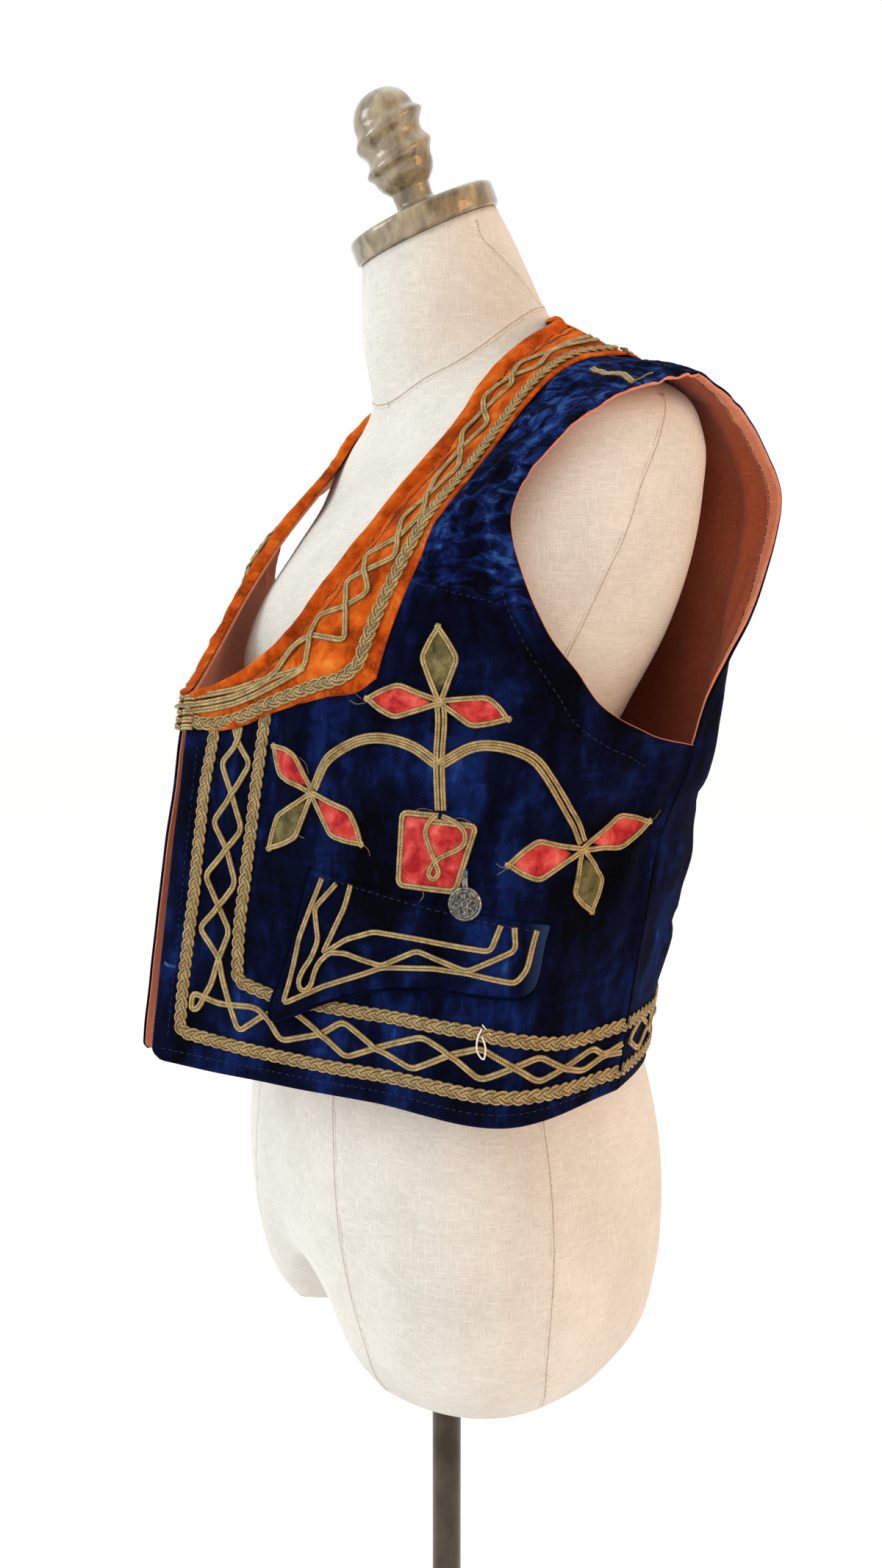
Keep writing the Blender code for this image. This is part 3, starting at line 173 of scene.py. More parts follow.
# Braid round the border: centre lines on a front, from the collar to the side seam.
OUTER_BRAID_DOWN = ((27, 207), (23, 170), (21, 110), (19, 60), (19, 22))
OUTER_BRAID_HEM = ((19, 22), (70, 19), (120, 18), (215, 18), (278, 14), (314.6, 12))
INNER_BRAID_DOWN = ((70, 219), (66, 179), (59, 123), (56, 91), (57, 60))
INNER_BRAID_HEM = ((57, 60), (81, 55), (120, 54), (168, 53), (213, 51), (242, 46), (265, 41), (292, 39), (314.6, 39))
BACK_OUTER_BRAID = ((251.6, 12), (200, 13), (100, 15), (0, 15))
BACK_INNER_BRAID = ((251.6, 39), (200, 40), (100, 42), (0, 42))

# Two cords that cross between the braids: each row is a crossing and the two bends after it,
# (cross_across, cross_up, one_across, one_up, other_across, other_up).
DOWN_LATTICE = ((49, 205, 36, 192, 61, 193), (47, 173, 32, 155, 57, 152), (44, 139, 28, 121, 56, 118),
                (40, 103, 27, 88, 51, 89))
CORNER_TURN = ((43, 72), (46.5, 60), (53, 44), (60, 29))
HEM_LATTICE = ((78, 43, 89, 28, 97, 50), (116, 37, 132, 23, 130, 47), (152, 34, 175, 25, 182, 46),
               (199, 38, 217, 26, 217, 44), (237, 33, 253, 21, 253, 38), (270, 26, 284, 20, 290, 32))
HEM_LATTICE_END = (299, 25)
BACK_LATTICE = {"start": 246, "up": 28, "swing": 9.5, "half_turns": 14}
COLLAR_LATTICE = ((73, 245, 83, 264, 98, 251), (95, 271, 95, 283, 124, 268), (116, 289, 106, 305, 130, 298),
                  (119, 311, 111, 321, 141, 320), (136, 332, 127, 344, 147, 345), (137, 357, 126, 372, 143, 376),
                  (126, 392, 110, 407, 130, 412), (114, 423, 103, 433, 121, 442), (112, 451, 104, 463, 126, 462))
COLLAR_LATTICE_END = (118, 478)
BACK_COLLAR_LATTICE = {"start": 124, "up": 481, "sink": 13, "swing": 9, "half_turns": 8}

# Flowers in a pot: every leaf is a kite from its base to its tip.
LEAVES = (
    # name, base_across, base_up, tip_across, tip_up, width, cloth
    ("top", 180, 239, 179, 278, 17, "olive"),
    ("upper_inner", 178, 234, 145, 235, 19, "red"),
    ("upper_outer", 184, 234, 212, 225, 18, "red"),
    ("inner_high", 105, 182, 78, 204, 18, "red"),
    ("inner_low", 105, 174, 77, 143, 18, "olive"),
    ("inner_side", 112, 175, 141, 151, 20, "red"),
    ("outer_side", 257, 147, 223, 142, 22, "red"),
    ("outer_high", 268, 151, 299, 160, 20, "red"),
    ("outer_low", 265, 144, 276, 113, 19, "olive"),
)
POT = ((166, 170.5), (204, 163.5), (196, 127), (164, 129))
STEM = ((182, 229), (184, 198), (186, 172))
INNER_BRANCH = ((184, 198), (169, 209), (152, 213), (131, 207), (118, 195), (110, 181.5))
OUTER_BRANCH = ((184, 198), (201, 209), (224, 204), (244, 179), (255, 163), (261.5, 152.5))

FLAP_TOP = ((106, 134), (178, 121), (249, 109))
FLAP_BOTTOM = ((84.5, 50), (83.4, 43.8), (87.6, 41.6), (96, 45.6), (120, 58), (151, 68), (188, 73), (221, 71), (238, 70),
               (243.5, 73), (246, 80))
FLAP_OUTER_CORD = ((116, 129), (101, 93), (94, 54), (119, 67), (156, 82), (188, 85), (207, 84), (233, 79),
                   (238, 86), (241, 107))
FLAP_INNER_CORD = ((135, 127), (131, 113), (117, 85), (133, 96), (150, 102), (180, 100), (218, 96), (222, 110))

COIN_CENTRE = (202, 121)
COIN_RADIUS, COIN_THICK, SHANK_TOP = 9.8, 1.8, 18.5
SHOULDER_BAR = ((172, 468), (236, 455))
HOOK_ACROSS, HOOK_THREAD_UP, HOOK_OFF, HOOK_BOW = 7.5, 224, 8.5, 2.2

# Seams of the form, as (bearing round the pole in degrees, height in mm); the wearer's left is at 0.
FORM_SIDE_SEAM = ((-3.7, 421), (-6.6, 450), (-7.4, 480), (-7.0, 530), (-7.2, 585), (-8.2, 635), (-6.5, 720),
                  (-4.0, 820), (-1.8, 909), (2.0, 936), (5.6, 964), (8.6, 985), (12.1, 1021), (18.1, 1062), (20, 1076))
FORM_FRONT_SEAM = ((-51.1, 420), (-53.4, 462), (-56.9, 498), (-59.9, 532), (-62.0, 565), (-63.4, 598),
                   (-64.9, 630), (-66.0, 690), (-64.0, 800))
FORM_BACK_SEAM = ((62, 420), (64, 480), (66, 560), (68, 660), (70, 800))
FORM_NECK_SEAM = ((-90, 1090), (-64.7, 1093), (-39.5, 1101), (-19.1, 1109), (0.8, 1122), (18.6, 1137),
                  (39.1, 1153), (64, 1163), (90, 1166))
FORM_NECK_SIDE = ((0, 1203), (2.1, 1196), (20.8, 1183), (38.4, 1170), (48, 1158))

# Soft folds of the cloth: from (across, up) to (across, up), height in mm (a trough is negative) and half width.
FRONT_FOLDS = (
    (96, 232, 92, 168, 1.5, 4.5), (107, 234, 108, 178, -1.1, 4.0), (118, 236, 122, 186, 1.6, 5.0),
    (132, 236, 134, 196, -1.0, 4.5), (147, 242, 150, 204, 1.2, 5.5), (80, 222, 76, 176, -1.0, 4.0),
    (250, 262, 214, 204, 1.6, 8.0), (244, 286, 204, 232, -1.1, 7.0), (262, 236, 236, 190, -1.3, 7.0),
    (284, 218, 258, 162, 1.9, 7.5), (304, 206, 292, 110, 2.0, 7.5), (290, 204, 272, 90, -1.5, 7.0),
    (308, 150, 306, 60, -1.0, 5.0), (224, 118, 300, 92, 1.4, 9.0), (216, 198, 246, 178, 0.8, 5.0),
    (209, 190, 232, 168, -0.6, 4.5), (162, 300, 236, 286, 1.0, 7.0), (160, 318, 232, 306, -1.1, 6.0),
    (166, 328, 236, 326, 0.9, 6.0), (170, 352, 236, 336, 1.0, 5.5), (174, 368, 238, 360, -1.0, 5.0),
    (166, 386, 240, 378, 1.1, 5.5), (160, 402, 242, 398, -1.0, 5.0), (156, 416, 242, 420, 1.2, 6.0),
    (152, 436, 244, 442, -1.1, 5.5), (154, 452, 244, 462, 1.0, 5.0), (160, 478, 242, 474, -1.0, 5.0),
    (162, 494, 240, 494, 1.1, 5.5), (170, 508, 240, 506, -0.8, 4.0),
    (214, 300, 218, 420, -0.7, 5.0), (196, 330, 204, 440, 0.6, 6.0),
    (8, 30, 8, 200, 0.8, 3.0), (140, 100, 150, 30, 0.6, 8.0), (60, 26, 300, 26, -0.5, 6.0),
)
BACK_FOLDS = (
    (30, 60, 26, 300, 1.3, 15.0), (-42, 80, -30, 330, -1.2, 14.0), (96, 40, 82, 240, 1.3, 13.0),
    (-104, 30, -92, 230, 1.2, 13.0), (150, 60, 128, 250, -1.1, 12.0), (-160, 50, -140, 240, -1.0, 12.0),
    (205, 40, 196, 190, 1.2, 11.0), (-210, 40, -198, 190, 1.0, 11.0), (216, 220, 150, 300, 1.3, 10.0),
    (-216, 230, -146, 310, 1.3, 10.0), (200, 262, 130, 352, -1.1, 9.0), (-202, 266, -128, 356, -1.0, 9.0),
    (-120, 410, 126, 404, 0.9, 10.0), (-100, 386, 92, 380, -0.9, 9.0), (210, 452, 150, 440, 1.0, 6.0),
    (-210, 452, -150, 440, 1.0, 6.0), (208, 484, 160, 478, -0.9, 5.0), (-208, 484, -160, 478, -0.9, 5.0),
    (0, 20, 4, 130, -0.9, 16.0), (60, 300, -40, 322, 0.8, 11.0),
    (150, 138, 246, 134, 2.2, 18.0), (176, 95, 246, 92, -1.4, 6.0), (176, 173, 246, 168, -1.4, 6.0),
    (-140, 128, -244, 134, 2.0, 18.0),
)
# Where the worn back stands in or out: distance from the centre, height, spreads and how far, mm.
BACK_SET = ((228, 244, 62, 34, -8.0), (190, 92, 62, 46, 5.5))
# The collar's inner strip is turned and sewn along this line; its edge reaches this far over the neckline.
COLLAR_SEAM = ((2, 229), (15, 231), (38, 236), (62, 248), (79, 264), (92, 289), (106, 330), (110, 366), (108, 405),
               (101, 444), (97, 486), (95, 518))
COLLAR_OVER = 2.6
CORNER_LOOP = ((39, 55), (34.5, 47), (32.4, 41.5), (29.6, 37.6), (25.4, 37.4), (22.8, 40.6), (23.6, 45), (27.4, 47.4),
               (33, 46.6), (38, 45.5), (46, 44), (70, 46))
POT_LOOP = ((184, 170), (179.5, 164), (178.5, 158), (184.5, 143), (187.5, 136.5), (184, 132.5), (180.5, 136),
            (184.5, 144), (199, 152), (199.5, 160), (194, 166), (187, 169))
FLAP_WAVE_CORD = ((126, 127), (112, 112), (114.5, 93), (110, 82), (104.6, 74), (102.4, 68), (104, 63.6), (108, 62.8),
                  (111.2, 67), (112.2, 73), (115, 80), (122, 87), (133, 88), (156, 83), (178, 94), (207, 85), (231, 97),
                  (229, 109))
NODES = {"top": (181, 234.5), "inner": (108.5, 178.5), "outer": (262.3, 148.5)}    # where leaves and branches meet
BRAID_HEADS = ((27.5, 210), (43, 212), (50, 214), (70.5, 221))      # braid and cords go in under the collar here
FOLD_DEPTH = 1.9
DEEPEST_FOLD = -1.3            # deeper, the velvet would sink into its lining
LINING_DEEPEST = -0.5          # and the lining into the form
YOKE_SEAM = ((160, 305), (199, 297), (233, 290))
# Soft upright folds of the back's lining, seen through the armholes; the table's columns are those above.
LINING_FOLDS = ((176, 210, 190, 440, 2.6, 8.0), (200, 208, 208, 400, 2.2, 7.0), (222, 212, 214, 330, 1.8, 6.5),
                (238, 208, 226, 262, 1.6, 6.0))
FRONT_CORNER, CORNER_FADE = 9.0, 30.0  # the round of the front's lower corner, and the height where it is gone
FACING_WIDE = 14.0             # the turned-in facing round the back of the armhole
COLLAR_EDGE_CORD = ((3, 222), (22, 224), (44, 228), (62, 234), (80, 242), (98, 251))
# The collar cords' ends at the front edge: their heights, and one end's (across, up, lift).
CORD_ENDS_UP = (231, 226.5, 222, 217, 212.5)
CORD_END = ((9, 0, 5.6), (4, 0, 5.8), (-0.6, -0.4, 5.4), (-2.6, -0.8, 3.2), (-2.2, -1, 0.4), (2, -1, -1.4))
SHOULDER_BAR_TAIL = ((236, 455), (238, 459), (237, 464), (239, 468))
COIN_PROFILE = ((0, 0), (0.93, 0), (1, 0.25), (1, 0.62), (0.95, 0.86), (0.88, 0.62), (0.84, 0.55), (0.5, 0.62),
                (0, 0.70))     # shares of its radius and thickness
HOOK_TWIST = 3.2               # one turn of the hook's three plies
# Rows of topstitching.
FRONT_STITCHES = (((13, 202), (12, 120), (11, 14)), ((6, 8.6), (80, 8.4), (200, 8), (312, 7)), YOKE_SEAM,
                  ((290, 192), (264, 207), (242, 226), (226, 256), (219, 300), (217, 345), (219, 392), (225, 436),
                   (223, 506)))
FLAP_STITCHES = ((110, 131), (178, 118), (245, 106))
BACK_STITCHES = (((-250, 7), (0, 8), (250, 7)), ((0, 20), (0, 200), (0, 436)))
STRAY_ENDS = (((141, 235), (137, 238), (134, 243), (129, 244)), ((144, 233), (138, 232), (133, 234)),
              ((223, 142), (219, 141), (216, 143)), ((223, 143), (220, 139), (217, 137)),
              ((106, 190), (104, 196), (100, 199)), ((142, 151), (146, 148), (147, 144)),
              ((299, 160), (303, 162), (306, 166)), ((100, 160), (98, 156), (100, 152), (103, 151)),
              ((182, 172), (176, 173), (172, 171)), ((190, 166), (196, 168), (201, 166)),
              ((178, 128), (179, 124), (177, 121)))

# --------------------------------------------------------------------------- camera and lights
LIGHTS = (
    # name, place, what it looks at, watts, width, height, tint
    ("window", (-0.7, -2.5, 1.9), (0, 0, 0.95), 23, 1.1, 1.3, "FFFFFF"),
    ("ceiling", (0.4, 0.2, 3.0), (0, 0, 0.9), 8, 2.4, 2.4, "FFFDF8"),
    ("warm_wall", (2.2, 1.2, 1.3), (0, 0, 0.95), 19, 0.9, 1.2, "FFB274"),
)
CAMERA_PLACE = (0.6542, -0.4348, 0.905)
CAMERA_LENS = 24.354
CAMERA_DIP = 6.0
CAMERA_HEADING = 56.722


# --------------------------------------------------------------------------- curves and surfaces
def smooth(knots, values, at, one_each=False):
    """Cubic curve through the values at the knots, carried on straight past both ends.

    With one_each, the second axis of the values holds one curve for each place asked for."""
    knots, values, at = (np.asarray(part, float) for part in (knots, values, at))
    steps = np.diff(knots)
    to_axes = (-1,) + (1,) * (values.ndim - 1)
    slopes = np.diff(values, axis=0) / steps.reshape(to_axes)
    before, after = steps[:-1].reshape(to_axes), steps[1:].reshape(to_axes)
    middle = (slopes[:-1] * after + slopes[1:] * before) / (before + after)
    tangents = np.concatenate([slopes[:1], middle, slopes[-1:]])
    inside = np.clip(at, knots[0], knots[-1])
    k = np.clip(np.searchsorted(knots, inside, side="right") - 1, 0, len(steps) - 1)
    low, high, leaving, arriving = (table[(row, np.arange(len(k))) if one_each else row]
                                    for table in (values, tangents) for row in (k, k + 1))
    wide = at.shape + (1,) * (low.ndim - at.ndim)
    step = steps[k].reshape(wide)
    t = ((inside - knots[k]) / steps[k]).reshape(wide)
    over = (at - inside).reshape(wide)
    ends = np.where(over > 0, tangents[-1], tangents[0])
    return (low * (1 + 2 * t) * (1 - t) ** 2 + leaving * step * t * (1 - t) ** 2
            + high * t * t * (3 - 2 * t) + arriving * step * t * t * (t - 1) + ends * over)


def unit(vectors):
    return vectors / np.maximum(np.linalg.norm(vectors, axis=-1, keepdims=True), 1e-12)


def run_of(line):
    """The distance along a line at each of its points."""
    return np.concatenate([[0], np.cumsum(np.linalg.norm(np.diff(line, axis=0), axis=1))])


def at_runs(line, runs):
    """Points of a line at distances along it."""
    whole = run_of(line)
    return np.stack([np.interp(runs, whole, line[:, axis]) for axis in range(line.shape[1])], axis=1)


def spaced(line, count):
    """Points spaced evenly along a line."""
    return at_runs(line, np.linspace(0, run_of(line)[-1], count))


def paced(line, step):
    """Points of a line at an exact step from its start."""
    return at_runs(line, np.arange(0, run_of(line)[-1], step))


def stepped(line, step):
    """Points spaced evenly along a line, about a step apart."""
    return spaced(line, max(round(run_of(line)[-1] / step), 3) + 1)


def curve_through(outline):
    outline = np.asarray(outline, float)
    lengths = run_of(outline)
    return smooth(lengths, outline, np.linspace(0, lengths[-1], 40 * len(outline)))


def even(line, step=1.5):
    """A smooth curve through a line's points, at an even step."""
    return stepped(curve_through(line), step)


def bend(start, corner, end, count, reach=1.0):
    """Points of a small round turn from start to end past a corner."""
    return [start * (1 - t) ** 2 + corner * 2 * t * (1 - t) + end * t * t
            for t in np.linspace(1 - reach, reach, count)]


def rounded(corners, radius, step=1.5):
    """A line of straight legs with its corners rounded, at an even step."""
    corners = np.asarray(corners, float)
    line = [corners[0]]
    for before, corner, after in zip(corners, corners[1:], corners[2:]):
        legs = [end - corner for end in (before, after)]
        cuts = [corner + leg * min(radius / np.linalg.norm(leg), 0.48) for leg in legs]
        line += bend(cuts[0], corner, cuts[1], 6)
    return stepped(np.array(line + [corners[-1]]), step)


def beside(line, distance):
    """A line moved sideways, to its left, by a distance."""
    ahead = unit(np.gradient(line, axis=0))
    return line + np.stack([-ahead[:, 1], ahead[:, 0]], axis=1) * distance


def worn(sections, stations, places):
    """Where (across, up) places of a pattern piece lie in the air, in metres."""
    table = np.asarray(sections, float)
    flat = places.reshape(-1, 2)
    rows = smooth(table[:, 0], table[:, 1:].reshape(len(table), len(stations), 3), flat[:, 1])
    found = smooth(stations, rows.transpose(1, 0, 2), flat[:, 0], one_each=True)
    return (found.reshape(places.shape[:-1] + (3,)) - (0, POLE_BEHIND, 0)) * MM


def front_surface(places):
    return worn(FRONT_SECTIONS, FRONT_ACROSS, np.asarray(places, float))


def back_surface(places):
    """As front_surface, for the back: a negative across is the wearer's right."""
    places = np.asarray(places, float)
    found = worn(BACK_SECTIONS, BACK_ACROSS, np.stack([np.abs(places[..., 0]), places[..., 1]], axis=-1))
    found[..., 0] *= np.where(places[..., 0] < 0, -1, 1)
    return found


def set_back(places):
    """The back's surface as it is worn: drawn in behind the armholes, fuller above the hem."""
    reach, up = np.abs(places[..., 0]), places[..., 1]
    out = sum(far * np.exp(-((reach - at) / wide) ** 2 - ((up - height) / tall) ** 2)
              for at, height, wide, tall, far in BACK_SET)
    return back_surface(places) + facing(back_surface, places) * out[..., None] * MM


def facing(surface, places, step=2.0):
    """Outward directions of a surface of the worn cloth at the given places."""
    places = np.asarray(places, float)
    across = surface(places + (step, 0)) - surface(places - (step, 0))
    up = surface(places + (0, step)) - surface(places - (0, step))
    normals = unit(np.cross(across, up))
    return normals if surface is front_surface else -normals


def ease(value):
    """0 to 1 with soft ends."""
    value = np.clip(value, 0, 1)
    return value * value * (3 - 2 * value)


def off_line(places, line):
    """Distance of each place from a line of pattern places."""
    line = np.asarray(line, float)
    best = np.full(places.shape[:-1], np.inf)
    for start, step in zip(line, np.diff(line, axis=0)):
        share = np.clip(((places - start) * step).sum(axis=-1) / (step ** 2).sum(), 0, 1)
        best = np.minimum(best, np.linalg.norm(places - start - share[..., None] * step, axis=-1))
    return best


def folds(places, table):
    """Height of the soft folds at the given places, mm: each swells and dies away along its length."""
    height = np.zeros(places.shape[:-1])
    for x0, y0, x1, y1, peak, half in table:
        step = np.array((x1 - x0, y1 - y0), float)
        share = np.clip(((places - (x0, y0)) * step).sum(axis=-1) / (step ** 2).sum(), 0, 1)
        away = np.linalg.norm(places - (x0, y0) - share[..., None] * step, axis=-1)
        height += FOLD_DEPTH * peak * (0.35 + 0.65 * np.sin(math.pi * share)) * np.exp(-(away / half) ** 2)
    return height


def ripple(places, wide, tall, seed, across_share=1.0):
    """Small uneven waves of the cloth, mm."""
    flat = places.reshape(-1, 2)
    waves = [noise.noise(Vector((a / wide * across_share + seed, u / wide, seed * 1.7))) for a, u in flat.tolist()]
    return np.array(waves).reshape(places.shape[:-1]) * tall


# --------------------------------------------------------------------------- making meshes
def grid_mesh(points, lay):
    """A bmesh grid with each crossing moved to its point; lay is its UV map, in metres of cloth."""
    rows, columns = points.shape[:2]
    sheet = bmesh.new()
    bmesh.ops.create_grid(sheet, x_segments=columns - 1, y_segments=rows - 1, size=1)
    mesh = as_mesh(sheet, "grid")
    mesh.vertices.foreach_set("co", points.reshape(-1).astype(np.float32))
    corner = np.empty(len(mesh.loops), np.int32)
    mesh.loops.foreach_get("vertex_index", corner)
    uv = mesh.uv_layers.new(name="lay")
    uv.data.foreach_set("uv", lay.reshape(-1, 2)[corner].reshape(-1).astype(np.float32))
    return mesh


def as_mesh(shape, name):
    """A finished bmesh as a mesh; the bmesh is freed."""
    mesh = bpy.data.meshes.new(name)
    shape.to_mesh(mesh)
    shape.free()
    return mesh


def link(name, data):
    """A new object in the scene."""
    made = bpy.data.objects.new(name, data)
    bpy.context.scene.collection.objects.link(made)
    return made


def stand(shape, place, tilt):
    """Tip a shape forward round the world's X axis, and move its foot to its place."""
    bmesh.ops.rotate(shape, cent=(0, 0, 0), matrix=Matrix.Rotation(tilt, 3, "X"), verts=shape.verts)
    bmesh.ops.translate(shape, vec=place, verts=shape.verts)


class Piece:
    """A piece in the making. Each closed shape is welded and turned outward before it joins."""

    def __init__(self):
        self.mesh = bmesh.new()

    def join(self, *grids, weld=WELD):
        """Add the closed shape that the given grids of (points, lay) make together."""
        shape = bmesh.new()
        for points, lay in grids:
            mesh = grid_mesh(points, lay)
            shape.from_mesh(mesh)
            bpy.data.meshes.remove(mesh)
        bmesh.ops.remove_doubles(shape, verts=shape.verts, dist=weld)
        bmesh.ops.recalc_face_normals(shape, faces=shape.faces)
        self.take(shape)

    def take(self, shape):
        """Add a finished bmesh to the piece."""
        mesh = as_mesh(shape, "shape")
        self.mesh.from_mesh(mesh)
        bpy.data.meshes.remove(mesh)

    def cloth(self, side, places, low, high):
        """A closed sheet from its wrong side, at the lift low, to its face; they meet at the edges."""
        self.join(*[(side.at(places, lift), places * MM) for lift in (low, high)])

    def sweep(self, route, up, section, lay_off=0.0, blunt=0.75):
        """A cord: a closed section of (aside, up) in mm carried along a route, with blunt ends."""
        ahead = unit(np.gradient(route, axis=0))
        aside = unit(np.cross(ahead, np.broadcast_to(up, route.shape)))
        top = np.cross(aside, ahead)
        ends = np.concatenate([[0, 0], np.arange(len(route)), [len(route) - 1] * 2])
        size = np.ones((len(ends), 1, 1))
        size[[0, -1]], size[[1, -2]] = 0.0, blunt
        section = np.concatenate([section, section[:1]])[None] * MM
        rings = route[ends][:, None] + size * (aside[ends][:, None] * section[..., :1]
                                               + top[ends][:, None] * section[..., 1:])
        run, around = run_of(route)[ends] + lay_off, np.linspace(0, 1, section.shape[1])
        self.join((rings, np.stack(np.broadcast_arrays(run[:, None], around), axis=-1)))

    def spin(self, profile, place=(0, 0, 0), tilt=0.0, steps=96, closed=False):
        """A turned shape: a profile of (radius, height) in metres spun round its axis."""
        shape = bmesh.new()
        ring = [shape.verts.new((radius, 0, height)) for radius, height in profile]
        edges = [shape.edges.new(ends) for ends in zip(ring, ring[1:] + ring[:1] * closed)]
        bmesh.ops.spin(shape, geom=ring + edges, cent=(0, 0, 0), axis=(0, 0, 1), angle=FULL_TURN, steps=steps,
                       use_merge=True)
        bmesh.ops.remove_doubles(shape, verts=shape.verts, dist=WELD)
        bmesh.ops.recalc_face_normals(shape, faces=shape.faces)
        stand(shape, place, tilt)
        self.take(shape)

    def done(self, name, finish, *replaces, twin=False, sharp=None, slot=None, cut=None, on="form_canvas"):
        """Make the object, and with twin its mirror image; names end in _left and _right. A sheet of
        cloth gives its cut, the pattern places of its grid, and what it rests on; neither is used."""
        own_slot, material = FINISHES[finish]
        for end in ("_left", "_right") if twin else ("",):
            if end == "_right":
                other = bmesh.new()
                other.from_mesh(mesh)
                bmesh.ops.scale(other, vec=(-1, 1, 1), verts=other.verts)
                bmesh.ops.reverse_faces(other, faces=other.faces)
            else:
                other = self.mesh
            mesh = as_mesh(other, name + end)
            mesh.materials.append(material)
            mesh.shade_smooth()
            if sharp is not None:
                mesh.set_sharp_from_angle(angle=math.radians(sharp))
            made = link(name + end, mesh)
            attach(made, "root")
            if replaces:
                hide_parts(*[node + end for node in replaces])
        return made


def oval(wide, high, count=8):
    """A section of (aside, up), mm."""
    angle = np.linspace(0, FULL_TURN, count, endpoint=False)
    return np.stack([np.cos(angle) * wide / 2, np.sin(angle) * high / 2], axis=1)


def two_ply(wide, high, count=12):
    """The section of a flat cord of two plies with a groove between them."""
    angle = np.linspace(0, FULL_TURN, count, endpoint=False)
    reach = np.maximum(np.abs(np.cos(angle)), 0.26)
    return np.stack([np.cos(angle) * reach * wide / 2, np.sin(angle) * reach * high], axis=1)


# --------------------------------------------------------------------------- the form and its stand
def form_ring(section, count):
    """One closed ring of the torso: a squared oval with its own front, middle and back."""
    height, half_width, front, middle, back, square_front, square_back, tilt = section
    angle = np.linspace(-math.pi, math.pi, count + 1) - math.pi / 2
    power = 2 / np.where(np.sin(angle) < 0, square_front, square_back)
    side, depth = (np.sign(part) * np.abs(part) ** power for part in (np.cos(angle), np.sin(angle)))
    y = middle + np.where(depth < 0, middle - front, back - middle) * depth
    z = height + math.tan(math.radians(tilt)) * (y - middle)
    return np.stack([half_width * side, y, z], axis=1)


def between_legs(x):
    """How much of the notch between the legs there is at x: 1 on the centre line, 0 past its half width."""
    return 0.5 + 0.5 * np.cos(math.pi * np.clip(np.abs(x) / LEG_NOTCH["half_width"], 0, 1))


def form_relief(ring):
    """The bust, and the notch between the legs."""
    x, y, z = ring.T
    forward = np.clip(-y / BUST["radius"], 0, 1)
    for side in (-1, 1):
        apart = ((x - side * BUST["spread"]) ** 2 + (z - BUST["height"]) ** 2) / BUST["radius"] ** 2
        y = y - BUST["rise"] * forward * np.exp(-apart * BUST["falling"])
    split = between_legs(x) * np.clip(1 - (z - FORM_SECTIONS[0][0]) / LEG_NOTCH["reach"], 0, 1) ** 1.5
    y = y - np.sign(y) * LEG_NOTCH["depth"] * split
    return np.stack([x, y - POLE_BEHIND, z + LEG_NOTCH["rise"] * split], axis=1)


def form_rings(around):
    """The torso's rings in mm, from the middle of its underside up to the neck."""
    table = np.asarray(FORM_SECTIONS, float)
    heights = np.concatenate([np.linspace(low, high, count) for low, high, count in FORM_RINGS])
    rings = [form_relief(form_ring(smooth(table[:, 0], table, height), around)) for height in heights]
    shares, drops = np.array(((1.0, 0.0), *THIGH_UNDERSIDE)).T
    under = []
    for t in np.linspace(1, 0.02, UNDERSIDE_RINGS):
        share = 1 - (1 - shares[-1]) * t
        drop = np.interp(-share, -shares, drops)
        x, y = rings[0][:, 0] * share, (rings[0][:, 1] + POLE_BEHIND) * share - POLE_BEHIND
        under.append(np.stack([x, y, FORM_SECTIONS[0][0] - drop + LEG_NOTCH["rise"] * between_legs(x)], axis=1))
    foot, head = (0 * ring + ring.mean(axis=0) for ring in (under[0], rings[-1]))
    return np.array([foot, *under, *rings, head])


def tree_of(piece):
    """A search tree over an object's faces."""
    mesh = piece.data
    return BVHTree.FromPolygons([vertex.co[:] for vertex in mesh.vertices],
                                [face.vertices[:] for face in mesh.polygons])


def form_line(form, route):
    """Points and outward directions on the form along a route of (bearing, height)."""
    found = []
    for bearing, height in even(route, SEAM_STEP):
        out = Vector((math.cos(math.radians(bearing)), math.sin(math.radians(bearing)), 0))
        spot, normal, _, _ = form.ray_cast(Vector((0, -POLE_BEHIND * MM, height * MM)) + out, -out)
        if spot is not None:
            found.append((spot, normal))
    return np.array(found).transpose(1, 0, 2)


def make_form():
    """The canvas torso with its seams: two ridges, a dark line of painted shade in the dip between them and small
    stitches across.
    """
    rings = form_rings(144) * MM
    lay = np.stack(np.meshgrid(np.linspace(0, 1, rings.shape[1]), np.linspace(0, 1, len(rings))), axis=-1)
    body = Piece()
    body.join((rings, lay), weld=0.00004)
    tree = tree_of(body.done("form_canvas", "canvas", "form_body"))
    seams, dips, ticks = Piece(), Piece(), Piece()
    for number, route in enumerate((FORM_SIDE_SEAM, FORM_FRONT_SEAM, FORM_BACK_SEAM, FORM_NECK_SIDE, FORM_NECK_SEAM)):
        for side in (-1, 1):
            points, ups = form_line(tree, route) * (side, 1, 1)
            run = run_of(points)
            wave = np.sin(run / 0.0057 + number) * np.sin(run / 0.0131 + side)
            lift = ups * (-0.22 + 0.22 * wave)[:, None] * MM
            aside = np.cross(unit(np.gradient(points, axis=0)), ups) * MM
            for off in (-1.25, 1.25):
                seams.sweep(points + lift + aside * off, ups, oval(2.5, 1.2, 6), blunt=0.4)
            # A dark line laid in the dip between the ridges: painted shade.
            dips.sweep(points + lift * 0.3, ups, oval(0.9, 0.6, 6), blunt=0.4)
            for k in range(1, len(points) - 2, 2):
                aside = unit(np.cross(points[k + 1] - points[k], ups[k]))
                tick = [points[k] + (ups[k] * rise + aside * off) * MM for off, rise in
                        ((-0.9, 0.26), (0, 0.38), (0.9, 0.26))]
                ticks.sweep(np.array(tick), ups[k], oval(0.34, 0.3, 4))
    seams.done("form_seams", "canvas")
    dips.done("form_seam_painted_shades", "seam_painted_shade")
    ticks.done("form_seam_stitches", "cream_thread")
    return tree


